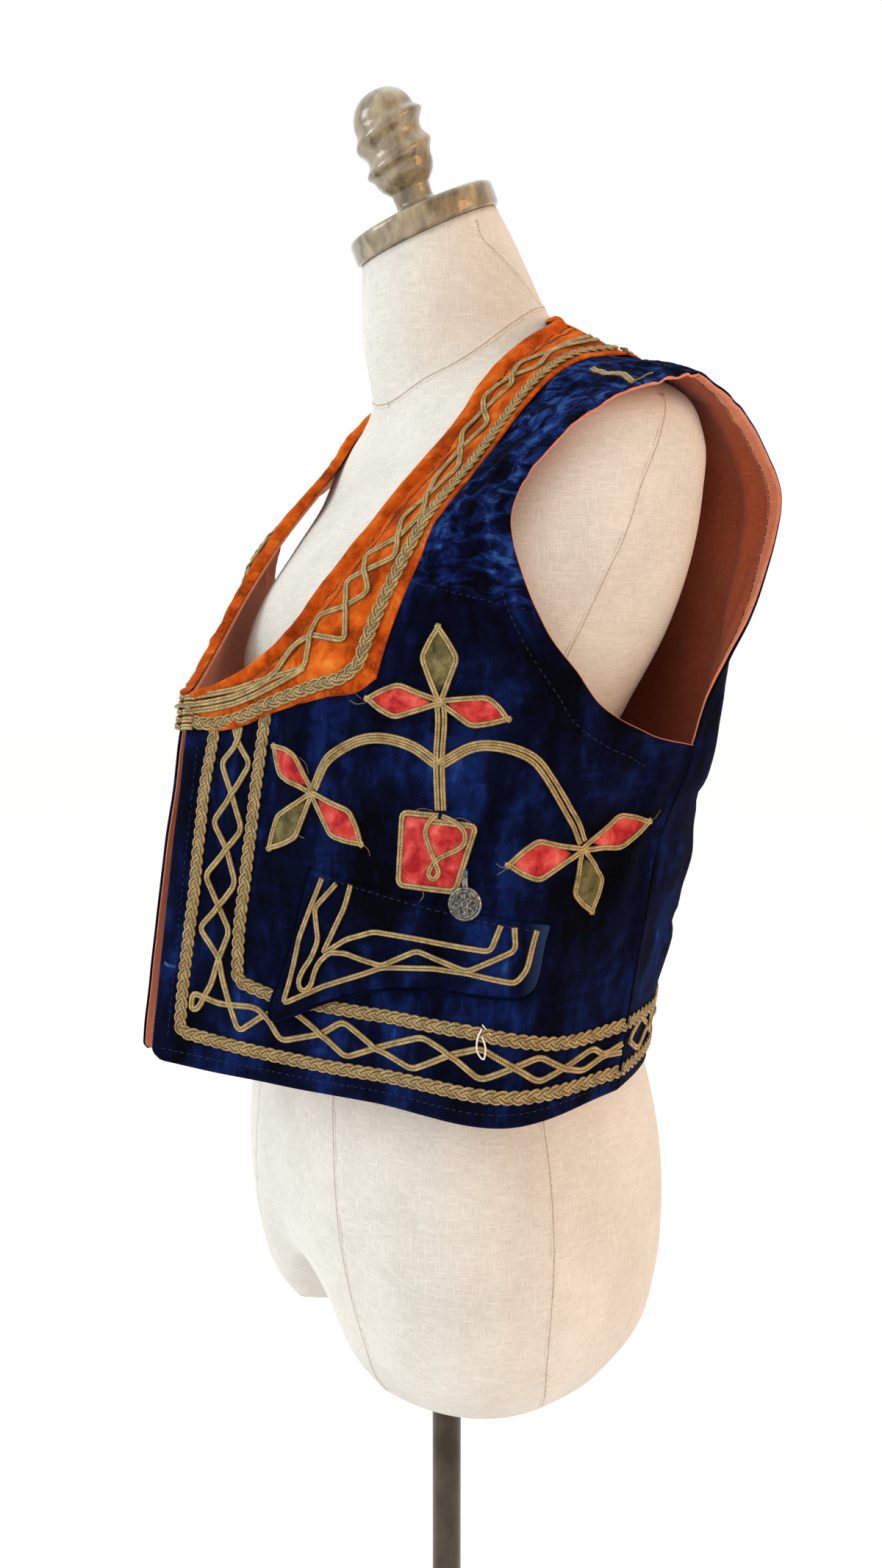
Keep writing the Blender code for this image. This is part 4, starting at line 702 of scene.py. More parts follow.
def off_corner(radius, height, *offsets):
    """Profile points given as (outward, up) in mm from a corner."""
    return [(radius + out * MM, height + up * MM) for out, up in offsets]


def turned(name, finish, node_name, sharp, *profile, **how):
    """A piece turned from one profile."""
    piece = Piece()
    piece.spin([*profile], **how)
    piece.done(name, finish, node_name, sharp=sharp)


def make_stand(under_form):
    """The base, the pole up to the form's underside, and the cap and finial of the neck."""
    gap = 0.3 * MM
    socket, lip = POLE_RADIUS + gap, BASE_COLLAR_RADIUS
    turned("stand_base_turned", "dark_steel", "stand_base", 35, (0, POLE_BOTTOM - gap), (socket, POLE_BOTTOM - gap),
           *off_corner(socket, BASE_COLLAR_TOP, (0, -0.6), (0.6, 0)),
           *off_corner(lip, BASE_COLLAR_TOP, (-2.0, 0), (-0.6, -0.6), (0, -2.0)),
           *off_corner(lip, BASE_PLATE, (0, 4.2), (0.7, 2.0), (3.0, 0.6), (6.0, 0)),
           *off_corner(BASE_RADIUS, BASE_PLATE, (-14, 0), (-7, -0.6), (-2.4, -1.8), (-0.6, -3.6), (0, -6)),
           *off_corner(BASE_RADIUS, 0, (-0.5, 1.2), (-2.0, 0)), (0, 0), steps=160)
    turned("stand_pole_turned", "dark_steel", "stand_pole", 35, (0, under_form),
           *off_corner(POLE_RADIUS, under_form, (-0.8, 0), (0, -0.8)), (POLE_RADIUS, 0.2),
           *off_corner(POLE_RADIUS, POLE_BOTTOM, (0, 0.8), (-0.8, 0)), (0, POLE_BOTTOM), steps=64)
    lift = Vector((0, -math.sin(NECK_TILT), math.cos(NECK_TILT)))
    cap_foot = Vector(NECK_CENTRE) + lift * gap
    turned("neck_cap_turned", "antiqued_resin", "neck_cap", 40, (0, CAP_THICK),
           *off_corner(CAP_RADIUS, CAP_THICK, (-4.8, 0), (-3.0, -0.2), (-1.2, -1.0), (-0.3, -2.4), (0, -4.2)),
           *off_corner(CAP_RADIUS, 0, (0, 2.6), (-0.4, 1.2), (-1.4, 0.3), (-3.0, 0)), (0, 0),
           place=cap_foot, tilt=NECK_TILT, steps=128)
    finial = Piece()
    angle = np.linspace(0, FULL_TURN, 97)
    radius, height = curve_through(FINIAL_PROFILE)[::7].T
    winding = height[:, None] - RIDGE_UP - RIDGE_PITCH * (angle - math.radians(RIDGE_BEARING)) / FULL_TURN
    off_ridge = np.abs((winding + RIDGE_PITCH / 2) % RIDGE_PITCH - RIDGE_PITCH / 2)
    within = ease((height - RIDGE_SPAN[0]) / 6) * ease((RIDGE_SPAN[1] - height) / 6)
    full = radius[:, None] + RIDGE_HIGH * within[:, None] * np.exp(-(off_ridge / RIDGE_HALF) ** 2)
    points = np.stack([full * np.cos(angle), full * np.sin(angle), height[:, None] + 0 * full], axis=-1) * MM
    finial.join((points, np.stack(np.meshgrid(angle, height), axis=-1) * MM))
    stand(finial.mesh, cap_foot + lift * (CAP_THICK + gap), NECK_TILT)
    finial.done("neck_finial_carved", "antiqued_resin", "neck_finial", sharp=60)


# --------------------------------------------------------------------------- the worn cloth
class Spacing:
    """How far the lining is lifted off its surface, in mm, so that it clears the form."""

    def __init__(self, surface, across, up, form, step=6.0):
        self.across, self.up, self.step = across[0], up[0], step
        grid = np.stack(np.meshgrid(np.arange(*across, step), np.arange(*up, step)), axis=-1)
        points, out = surface(grid), facing(surface, grid)
        push = np.zeros(grid.shape[:2])
        for _ in range(3):
            need = np.zeros_like(push)
            for index in np.ndindex(push.shape):
                point = Vector(points[index] + out[index] * push[index] * MM)
                spot, normal, _, distance = form.find_nearest(point)
                outside = distance if (point - spot).dot(normal) >= 0 else -distance
                need[index] = max(0.0, FORM_CLEAR - outside / MM)
            push += need
            for _ in range(2):
                padded = np.pad(push, 1, mode="edge")
                near = [padded[a:a + push.shape[0], b:b + push.shape[1]] for a in range(3) for b in range(3)]
                push = np.maximum(push, np.mean(near, axis=0))
        self.push = push

    def at(self, places):
        push = self.push
        column = np.clip((places[..., 0] - self.across) / self.step, 0, push.shape[1] - 1.001)
        row = np.clip((places[..., 1] - self.up) / self.step, 0, push.shape[0] - 1.001)
        a, b = row.astype(int), column.astype(int)
        s, t = row - a, column - b
        return (push[a, b] * (1 - s) * (1 - t) + push[a + 1, b] * s * (1 - t)
                + push[a, b + 1] * (1 - s) * t + push[a + 1, b + 1] * s * t)


def front_relief(places):
    """The soft folds of a front and the crush of its velvet, mm; the shoulder is the most crushed."""
    across, up = places[..., 0], places[..., 1]
    under_arm = ease((across - 226) / 34) * ease((up - 80) / 60) * ease((275 - up) / 40)
    crush = np.maximum(ease((up - 290) / 60), 0.5 * under_arm)
    relief = (folds(places, FRONT_FOLDS) + ripple(places, 31, 0.9, 3.1)
              + crush * (ripple(places, 11, 2.0, 5.7, 0.6) + ripple(places, 5.5, 0.8, 2.9, 0.7))
              - 0.9 * np.exp(-(off_line(places, YOKE_SEAM) / 2.6) ** 2) * (across > 155))
    return np.maximum(relief, DEEPEST_FOLD) * ease((FRONT_SIDE + 2 - across) / 14)


def back_relief(places):
    crush = 0.35 + 0.65 * ease((places[..., 1] - 400) / 60)
    relief = folds(places, BACK_FOLDS) + ripple(places, 38, 1.2, 8.3) + crush * ripple(places, 12, 1.0, 1.9, 0.8)
    to_seam = ease((BACK_SIDE + 2 - np.abs(places[..., 0])) / 22)
    return np.maximum(relief, DEEPEST_FOLD) * np.where(places[..., 1] < UNDERARM_UP, to_seam, 1)


class Front:
    """The worn fronts: where a place lies at a lift, which way it faces and how it is folded."""
    surface, relief, mirrored = staticmethod(front_surface), staticmethod(front_relief), True
    field = (-14, 334), (-8, 540)

    def __init__(self, form):
        self.spacing = Spacing(self.surface, *self.field, form)

    def at(self, places, lift=0.0):
        places = np.asarray(places, float)
        rise = (self.spacing.at(places) + lift) * MM
        return self.surface(places) + facing(self.surface, places) * rise[..., None]

    def out(self, places):
        return facing(front_surface, places)

    def lay(self, line, lift):
        """Points and outward directions of a line of pattern places at a lift over the cloth."""
        return self.at(line, lift), self.out(line)

    def calm(self, places):
        """The folds as the lining has them."""
        return np.maximum(self.relief(places), LINING_DEEPEST)


class Back(Front):
    """The worn back, drawn to the fronts along the side seams and the shoulder seams."""
    surface, relief, mirrored = staticmethod(set_back), staticmethod(back_relief), False
    field = (-270, 271), (-8, 534)

    def __init__(self, form, front):
        super().__init__(form)
        self.front = front

    def at(self, places, lift=0.0):
        places = np.asarray(places, float)
        lift = np.broadcast_to(lift, places.shape[:-1])
        across, up = places[..., 0], places[..., 1]
        side, reach = np.where(across < 0, -1.0, 1.0), np.abs(across)
        matched = 82 + (np.clip(reach, 60, 240) - 86) * (240 - 82) / (223 - 86)
        gap = 0
        for share, front_across, front_up, back_across, back_up in (
                (ease((reach - 206) / 46) * (1 - ease((up - UNDERARM_UP) / 50)), FRONT_SIDE, up, BACK_SIDE, up),
                (ease((up - 474) / 41) * ease((reach - 40) / 46), matched, 518, reach, 515)):
            theirs = self.front.at(np.stack(np.broadcast_arrays(front_across, front_up + 0 * up), axis=-1), lift)
            own = super().at(np.stack(np.broadcast_arrays(back_across, back_up + 0 * up), axis=-1), lift)
            gap = gap + (theirs - own) * share[..., None]
        return super().at(places, lift) + gap * np.stack([side, np.ones_like(side), np.ones_like(side)], axis=-1)

    def out(self, places):
        return facing(back_surface, places)

    def hang(self, places):
        """How far the lining hangs in, mm, where it is free of the form, clear of its facing."""
        half = np.abs(places)
        free = ease((half[..., 0] - 160) / 18) * ease((half[..., 1] - 206) / 14)
        return np.maximum(folds(half, LINING_FOLDS), 0) * free * ease((off_line(half, BACK_ARMHOLE) - FACING_WIDE) / 9)


# --------------------------------------------------------------------------- cut pieces of cloth
def steps_in(length, count, first=True, last=True):
    """Distances from 0 to a length, closer together where the cloth rolls over an edge."""
    length = np.asarray(length, float)[..., None]
    start, stop = ROLL * first, ROLL * last
    middle = start + (length - start - stop) * np.linspace(0, 1, count + 1)
    lead = EDGE_STEPS + 0 * length if first else middle[..., :0]
    tail = length - EDGE_STEPS[::-1] if last else middle[..., :0]
    return np.concatenate([lead, middle, tail], axis=-1)


def rolled(distance, reach=ROLL):
    """Share of the cloth's thickness at a distance in from a turned edge."""
    return np.sqrt(1 - (1 - np.clip(distance / reach, 0, 1)) ** 2)


def edge_rows(stretches, rows):
    """Places down an edge given as two lines, and how far each is from its first and last end."""
    low, high = stretches
    low_length, high_length = run_of(low)[-1], run_of(high)[-1]
    low_runs, high_runs = steps_in(low_length, rows[0], last=False), steps_in(high_length, rows[1], first=False)
    places = np.concatenate([at_runs(low, low_runs), at_runs(high, high_runs)[1:]])
    from_foot = np.concatenate([low_runs, low_length + high_runs[1:]])
    return places, from_foot, low_length + high_length - from_foot


def between(inner, outer, columns):
    """Places across from one edge to the other, how far in each is, and from the nearer of the two."""
    width = np.linalg.norm(outer - inner, axis=1)
    inward = steps_in(width, columns)
    share = (inward / width[:, None])[..., None]
    return inner[:, None] * (1 - share) + outer[:, None] * share, inward, np.minimum(inward, width[:, None] - inward)


def panel_grid(inner, outer, rows, columns):
    """Places of a panel between two edges, how far in each is from the inner one, and from any edge."""
    inner_places, from_foot, to_head = edge_rows(inner, rows)
    places, inward, edge = between(inner_places, edge_rows(outer, rows)[0], columns)
    return places, inward, np.maximum(np.minimum(edge, np.minimum(from_foot, to_head)[:, None]), 0)


def side_seam(across):
    return np.linspace((across, 0), (across, UNDERARM_UP), 60)


def front_grid(rows, columns):
    """Places of a front, and how far each is from an edge; its lower corner is turned to a small round."""
    inner = np.linspace((0, 0), (0, HOOK_UP), 60), curve_through(NECKLINE)
    places, _, edge = panel_grid(inner, (side_seam(FRONT_SIDE), curve_through(FRONT_ARMHOLE)), rows, columns)
    reach = np.clip(FRONT_CORNER - places[..., 0], 0, FRONT_CORNER)
    rise = FRONT_CORNER - np.sqrt(FRONT_CORNER ** 2 - reach ** 2)
    fading = np.clip(1 - places[..., 1] / CORNER_FADE, 0, 1)
    return places + np.stack([0 * rise, rise * fading], axis=-1), edge


def back_grid(rows, columns):
    """As front_grid, for the whole back, from the wearer's left edge to the right one."""
    outer, from_hem, to_head = edge_rows((side_seam(BACK_SIDE), curve_through(BACK_ARMHOLE)), rows)
    neck_across, shoulder_up = BACK_NECKLINE[-1]
    width = np.abs(outer[:, 0] - neck_across)
    inward = steps_in(width, columns[0], last=False)
    share = inward / width[:, None]
    across, up = outer[:, :1] * (1 - share) + neck_across * share, outer[:, 1:]
    top = up[-1, 0]
    neck = spaced(curve_through(BACK_NECKLINE[::-1]), columns[1] + 1)[1:]
    across = np.concatenate([across, np.broadcast_to(neck[:, 0], (len(outer), len(neck)))], axis=1)
    up = np.concatenate([up * (1 - share) + up * shoulder_up / top * share, up * neck[:, 1] / top], axis=1)
    inward = np.concatenate([inward, np.full((len(outer), len(neck)), np.inf)], axis=1)
    edge = np.minimum(inward, np.minimum(from_hem, to_head)[:, None])
    half = np.stack([across, up], axis=-1)
    places = np.concatenate([half, half[:, -2::-1] * (-1, 1)], axis=1)
    return places, np.maximum(np.concatenate([edge, edge[:, -2::-1]], axis=1), 0)


def make_panels(front, back):
    """The shells and, on coarser grids, their linings; then the edges and facing of the lining."""
    # The fronts' lining takes the copy of the cotton painted as lit; the back's lining, the copy darkened with painted
    # shade.
    for side, name, grid, shell_size, lining_size, cotton in (
            (front, "front", front_grid, ((46, 84), 84), ((26, 46), 46), "facing_cotton"),
            (back, "back", back_grid, ((40, 70), (34, 26)), ((22, 38), (26, 12)), "lining_cotton")):
        twin = side.mirrored
        places, edge = grid(*shell_size)
        low = VELVET_LOW + side.relief(places)
        shell = Piece()
        shell.cloth(side, places, low, low + (VELVET_TOP - VELVET_LOW) * rolled(edge))
        shell.done(f"{name}_velvet", f"{name}_velvet", name, twin=twin, cut=places)
        places, edge = grid(*lining_size)
        calm, hang = side.calm(places), 0 if twin else side.hang(places)
        within = Piece()
        within.cloth(side, places, calm - hang, calm + LINING_THICK * rolled(edge, LINING_ROLL))
        within.done(f"{name}_lining", cotton, f"lining_{name}", twin=twin, cut=places)

    piping = Piece()
    cord(piping, front, paced(curve_through(FRONT_ARMHOLE), PIPING_STEP), 1.0, oval(1.1, 1.4, 8))
    # Below the collar the lining's fold shows past the neck edge, where the fronts stand off the form.
    line = curve_through(NECKLINE)
    line = paced(line[(line[:, 1] < 400) & (run_of(line) > 3)], PIPING_STEP)
    cord(piping, front, line, -0.6, oval(2.0, 2.6, 8), relief=no_folds)
    piping.done("lining_edge_front", "facing_cotton", twin=True)
    piping = Piece()
    armhole = paced(curve_through(BACK_ARMHOLE), PIPING_STEP)
    cord(piping, back, armhole, 0.4, oval(1.1, 1.2, 8))
    piping.done("lining_edge_back", "facing_cotton", twin=True)

    # The lining's facing, turned in round the back of the armhole and puckered by its stitches.
    inward = steps_in(FACING_WIDE, 8)
    places = np.stack([beside(armhole, distance) for distance in inward], axis=1)
    roll = rolled(np.minimum(inward, FACING_WIDE - inward), LINING_ROLL)[None] + 0 * places[..., 0]
    pucker = 0.25 * ripple(places, 8, 1.6, 4.4) * ease(inward / 6)
    turned_in = Piece()
    turned_in.cloth(back, places, back.calm(places) - (0.9 + pucker) * roll, back.calm(places) + 0.3 * roll)
    turned_in.done("facing_back", "facing_cotton", twin=True)


def collar_strip(places, inward, strip, roll, groove, seam_wide, pucker, fading):
    """Fullness of the collar, mm: its strip by the neck is rolled and puckered by the seam that sews it."""
    sewn = inward - strip
    return (roll * np.sin(math.pi * np.clip(inward / strip, 0, 1)) ** 0.8 - groove * np.exp(-(sewn / seam_wide) ** 2)
            + ripple(places, 7, pucker, 12.4, 0.7) * np.exp(-(sewn / fading) ** 2))


def collar_low(inward):
    """Lift of the collar's wrong side, which rolls over the neck edge."""
    return COLLAR_LOW * ease((inward + 1.0) / 5.5)


def lay_collar(side, name, places, low, edge, full, replaced, twin, on):
    """The collar's cloth, its face full inside its turned edges."""
    piece = Piece()
    piece.cloth(side, places, low, low + (COLLAR_TOP - COLLAR_LOW) * rolled(edge) + full * rolled(edge, 5.0))
    piece.done(name, "orange_velvet", replaced, twin=twin, cut=places, on=on)


def make_collar(front, back):
    neck = beside(curve_through(NECKLINE), COLLAR_OVER)
    corner = round(len(neck) * COLLAR_CORNER_SHARE)
    outer = (curve_through(COLLAR_LOWER_EDGE), curve_through(COLLAR_OUTER_EDGE))
    places, inward, edge = panel_grid((neck[:corner + 1], neck[corner:]), outer, (44, 84), 44)
    seam = off_line(places, COLLAR_SEAM).argmin(axis=1)
    strip = np.take_along_axis(inward, seam[:, None], axis=1)[:, 0]
    strip = np.convolve(np.pad(strip, 6, mode="edge"), np.ones(13) / 13, mode="valid")[:, None]
    sewn = inward - strip
    full = (collar_strip(places, inward, strip, 2.8, 1.7, 2.4, 2.4, 8) + ripple(places, 17, 1.1, 6.6)
            - 0.7 * np.exp(-((sewn - 7) / 2.2) ** 2) + 0.5 * np.exp(-((sewn - 4) / 2.0) ** 2))
    low = collar_low(inward)
    for spot in BRAID_HEADS:
        low = low + 1.6 * np.exp(-(np.linalg.norm(places - spot, axis=-1) / 7.0) ** 2)
    lay_collar(front, "collar_velvet", places, low, edge, full, "collar", True, "front_velvet{}")

    inner, outer = (spaced(curve_through(line), 60) for line in (BACK_NECKLINE, BACK_COLLAR_EDGE))
    inner[:, 1] += COLLAR_OVER
    for line, across in ((inner, 83.5), (outer, 158)):
        line[-8:, 0] = np.linspace(line[-8, 0], across, 8)
    half, inward, edge = between(inner, outer, 40)
    edge = np.minimum(edge, (run_of(inner)[-1] - run_of(inner))[:, None])
    places = np.concatenate([half[:0:-1] * (-1, 1), half])
    inward, edge = (np.concatenate([part[:0:-1], part]) for part in (inward, np.maximum(edge, 0)))
    full = collar_strip(places, inward, 13.0, 2.4, 1.3, 1.9, 2.2, 7) + ripple(places, 17, 1.0, 6.6)
    lay_collar(back, "collar_velvet_back", places, collar_low(inward), edge, full, "collar_back", False, "back_velvet")


def flap_relief(places):
    """The folds below a flap, and how far it stands off the front, mm, over what a flat one would."""
    over_braid = 2.2 * np.exp(-(off_line(places, INNER_BRAID_HEM) / 8.0) ** 2)
    corner = 3.0 * np.exp(-(np.linalg.norm(places - (88, 46), axis=-1) / 30) ** 2)
    loose = 2.2 * ease(off_line(places, FLAP_TOP) / 30)
    return front_relief(places) + over_braid + corner + loose


def make_flap(front):
    """The pocket flap: sewn along its top, humped over the braid below it, its low corner lifted."""
    top, foot = curve_through(FLAP_TOP), curve_through(FLAP_BOTTOM)
    half = len(top) // 2
    places, _, edge = panel_grid((foot[:half], foot[half - 1:]), (top[:half], top[half - 1:]), (34, 34), 34)
    low = FLAP_LOW + flap_relief(places)
    piece = Piece()
    piece.cloth(front, places, low, low + (FLAP_TOP_LIFT - FLAP_LOW) * rolled(edge, 2.8))
    piece.done("pocket_flap_velvet", "flap_velvet", "pocket_flap", twin=True, cut=places, on="front_velvet{}")
    roll = Piece()
    line = rounded([places[0, -1], *FLAP_BOTTOM, places[-1, -1]], 4.0)
    cord(roll, front, line, FLAP_LOW + 1.0, oval(2.2, 2.6, 10), relief=flap_relief, lay_off=-0.1)
    roll.done("pocket_flap_roll", "flap_velvet", twin=True)


# --------------------------------------------------------------------------- braid and cord
STRAND = oval(3.7, 1.7, 8)
SOUTACHE = two_ply(CORD_WIDE, 1.7)


def no_folds(places):
    """In place of a side's relief: what lies on the collar doesn't follow the folds below it."""
    return 0.0


def plait(piece, side, line, lift, relief=None):
    """A flat braid of three strands along a line of pattern places."""
    line = paced(line, PLAIT_STEP)
    points, ups = side.lay(line, lift + (relief or side.relief)(line))
    aside = np.cross(unit(np.gradient(points, axis=0)), ups)
    turn = run_of(points) / (PLAIT_TURN * MM) * FULL_TURN
    for strand in range(3):
        angle = turn + strand * FULL_TURN / 3
        route = points + (aside * (PLAIT_SWING * np.sin(angle))[:, None]
                          + ups * (PLAIT_DEPTH * np.sin(2 * angle))[:, None]) * MM
        piece.sweep(route, ups, STRAND, lay_off=strand * 0.37)


def cord(piece, side, line, lift, section=SOUTACHE, over=(), relief=None, lay_off=0.0):
    """A cord along a line of pattern places, lifted where it passes over another."""
    line = np.asarray(line, float)
    lift = lift + (relief or side.relief)(line)
    for spot in over:
        lift = lift + 1.35 * np.exp(-(np.linalg.norm(line - spot, axis=1) / 3.4) ** 2)
    piece.sweep(*side.lay(line, lift), section, lay_off)


def crossing_cords(rows, end):
    """The two cords of a lattice, which change sides at every crossing, and where each passes over."""
    cords, over = ([], []), ([], [])
    for k, row in enumerate(rows):
        bends = (row[2:4], row[4:6])
        for side in (0, 1):
            cords[side].extend([row[0:2], bends[(side + k) % 2]])
        over[k % 2].append(row[0:2])
    return [list(line) + [end] for line in cords], over


def even_lattice(start, up, swing, half_turns, sink=0):
    """A lattice of even waves from one side of the back to the other."""
    step = 2 * start / half_turns
    rows = []
    for k in range(half_turns):
        across, middle = start - k * step, start - (k + 0.5) * step
        level = [up - sink * (1 - (place / start) ** 2) for place in (across, middle)]
        sway = (1 + 0.12 * math.sin(k * 2.3), 1 + 0.12 * math.cos(k * 1.7))
        rows.append((across, level[0], middle + 1.5 * math.sin(k), level[1] + swing * sway[0],
                     middle - 1.5 * math.cos(k), level[1] - swing * sway[1]))
    return crossing_cords(rows, (-start, up))


def cornered(first, second, radius=5.0):
    """Two smooth lines that meet in a small round corner."""
    corner = np.array(second[0], float)
    legs = [paced(curve_through(line), 1.0) for line in (first, second)]
    one, two = (leg[np.linalg.norm(leg - corner, axis=1) > radius] for leg in legs)
    return np.concatenate([one, bend(one[-1], corner, two[0], 8, 0.9), two])


def collar_line(share):
    """A line along the collar at a share of its width, from the hook to the shoulder."""
    neck = curve_through(NECKLINE)
    before = round(len(neck) * COLLAR_CORNER_SHARE)
    edge = np.concatenate([spaced(curve_through(COLLAR_LOWER_EDGE), before + 1),
                           spaced(curve_through(COLLAR_OUTER_EDGE), len(neck) - before)[1:]])
    return neck * (1 - share) + edge * share


def clear_of(places, line, least):
    """Places pushed off a line until they lie at least the given distance from it."""
    line = np.asarray(line, float)
    steps = np.diff(line, axis=0)
    moved = np.array(places, float)
    for index, place in enumerate(moved):
        share = np.clip(((place - line[:-1]) * steps).sum(axis=1) / (steps ** 2).sum(axis=1), 0, 1)
        away = place - (line[:-1] + steps * share[:, None])
        distance = np.linalg.norm(away, axis=1)
        nearest = distance.argmin()
        if distance[nearest] < least:
            moved[index] += away[nearest] * (least / distance[nearest] - 1)
    return moved


def make_braids(front, back):
    fronts = (("outer", OUTER_BRAID_DOWN, OUTER_BRAID_HEM), ("inner", INNER_BRAID_DOWN, INNER_BRAID_HEM))
    backs = (("outer", BACK_OUTER_BRAID), ("inner", BACK_INNER_BRAID))
    for name, down, hem in fronts:
        head = (down[0][0] + 0.8, down[0][1] + 9)      # it goes in under the collar
        lay_braid(front, cornered((head, *down), hem), f"braid_{name}_plait", f"braid_{name}")
    for name, half in backs:
        whole = half + tuple((-across, up) for across, up in half[-2::-1])
        lay_braid(back, curve_through(whole), f"braid_{name}_plait_back", f"braid_{name}_back")
    line = collar_line(COLLAR_BRAID_AT)
    lay_braid(front, line[run_of(line) > 6], "collar_plait", "collar_braid", COLLAR_TOP + 0.8, no_folds)
    neck, edge = (spaced(curve_through(line), 30) for line in (BACK_NECKLINE, BACK_COLLAR_EDGE))
    half = neck * (1 - COLLAR_BRAID_AT) + edge * COLLAR_BRAID_AT
    lay_braid(back, np.concatenate([half[:0:-1] * (-1, 1), half]), "collar_plait_back", "collar_braid_back",
              COLLAR_TOP + 0.8, no_folds)


def lay_braid(side, line, name, replaced, lift=VELVET_TOP + 0.75, relief=None):
    piece = Piece()
    plait(piece, side, line, lift, relief)
    piece.done(name, "gold_thread", replaced, twin=side.mirrored)


def back_cords(back, lattice, lift, relief, name):
    piece = Piece()
    for line, over in zip(*even_lattice(**lattice)):
        cord(piece, back, rounded(line, 5.0), lift, over=over, relief=relief)
    piece.done(f"{name}s_back", "gold_thread", f"{name}_back")


def make_cords(front, back):
    piece = Piece()
    down, over_down = crossing_cords(DOWN_LATTICE, CORNER_TURN[0])
    hem, over_hem = crossing_cords(HEM_LATTICE, HEM_LATTICE_END)
    turns = (CORNER_LOOP, CORNER_TURN[1:])
    for side in (0, 1):
        route = [*down[side], *turns[side], *hem[side], (313, 28 - 5 * side)]
        for braid in (OUTER_BRAID_DOWN, OUTER_BRAID_HEM, INNER_BRAID_DOWN, INNER_BRAID_HEM):
            route = clear_of(route, braid, (BRAID_WIDE + CORD_WIDE) / 2 + 0.5)
        line = rounded([(50 - 6 * side, 215), *route], 4.5)
        cord(piece, front, line, CORD_LIE, over=over_down[side] + over_hem[side])
    piece.done("border_cords", "gold_thread", "border_cord", twin=True)

    back_cords(back, BACK_LATTICE, CORD_LIE, None, "border_cord")
    piece = Piece()
    cords, over = crossing_cords(COLLAR_LATTICE, COLLAR_LATTICE_END)
    for side in (0, 1):
        foot = [(3, 231 - 5.0 * side), (22, 233.5 - 5.0 * side), (44, 237 - 4.5 * side), (60, 241.5 - 3.5 * side)]
        line = rounded([*foot, *cords[side], (116 + 6 * side, 500), (118 + 8 * side, 517)], 5.0)
        cord(piece, front, line, COLLAR_CORD_LIE, over=over[side], relief=no_folds)
    cord(piece, front, rounded(COLLAR_EDGE_CORD, 6.0), COLLAR_CORD_LIE, relief=no_folds)
    # The cords' ends are turned in round the front edge.
    for up in CORD_ENDS_UP:
        turn = smooth(np.arange(len(CORD_END)), np.array(CORD_END) + (0, up, 0), np.linspace(0, len(CORD_END) - 1, 26))
        cord(piece, front, turn[:, :2], turn[:, 2], relief=no_folds)
    piece.done("collar_cords", "gold_thread", "collar_cord", twin=True)
    back_cords(back, BACK_COLLAR_LATTICE, COLLAR_CORD_LIE, no_folds, "collar_cord")

    piece = Piece()
    thin = two_ply(3.3, 1.6)
    for aside in (-1.55, 1.55):
        cord(piece, front, even(np.array((NODES["top"], *STEM)) + (aside, 0)), CORD_LIE, thin)
        for branch in (INNER_BRANCH, OUTER_BRANCH):
            cord(piece, front, beside(even(branch), aside), CORD_LIE + 0.1, thin)
    piece.done("flower_stem_cords", "gold_thread", "flower_stem", twin=True)

    piece = Piece()
    cord(piece, front, even(SHOULDER_BAR), CORD_LIE, two_ply(CORD_WIDE + 0.6, 2.0))
    line = even(SHOULDER_BAR_TAIL, 0.8)
    cord(piece, front, line, CORD_LIE + np.linspace(0.6, 3.0, len(line)), oval(0.8, 0.8, 6), relief=no_folds)
    piece.done("shoulder_bar_cord", "gold_thread", "shoulder_bar", twin=True)


def patch(piece, side, corners, crown, count=14):
    """A small piece of cloth between four bowed sides, a little full in its middle; gives its places."""
    low, right, high, left = [spaced(curve_through(line), count + 1) for line in corners]
    u = np.linspace(0, 1, count + 1)
    s, t = u[None, :, None], u[:, None, None]
    places = ((1 - t) * low[None] + t * high[None] + (1 - s) * left[:, None] + s * right[:, None]
              - ((1 - s) * (1 - t) * low[0] + s * (1 - t) * low[-1] + (1 - s) * t * high[0] + s * t * high[-1]))
    full = (4 * u * (1 - u))[None, :] * (4 * u * (1 - u))[:, None]
    low = PATCH_LOW + side.relief(places)
    crowned = (PATCH_TOP - PATCH_LOW) * np.minimum(full * 6, 1) ** 0.5 * 0.7 + crown * full
    piece.cloth(side, places, low, low + crowned + ripple(places, 6, 0.5, 21.0) * full)
    return places


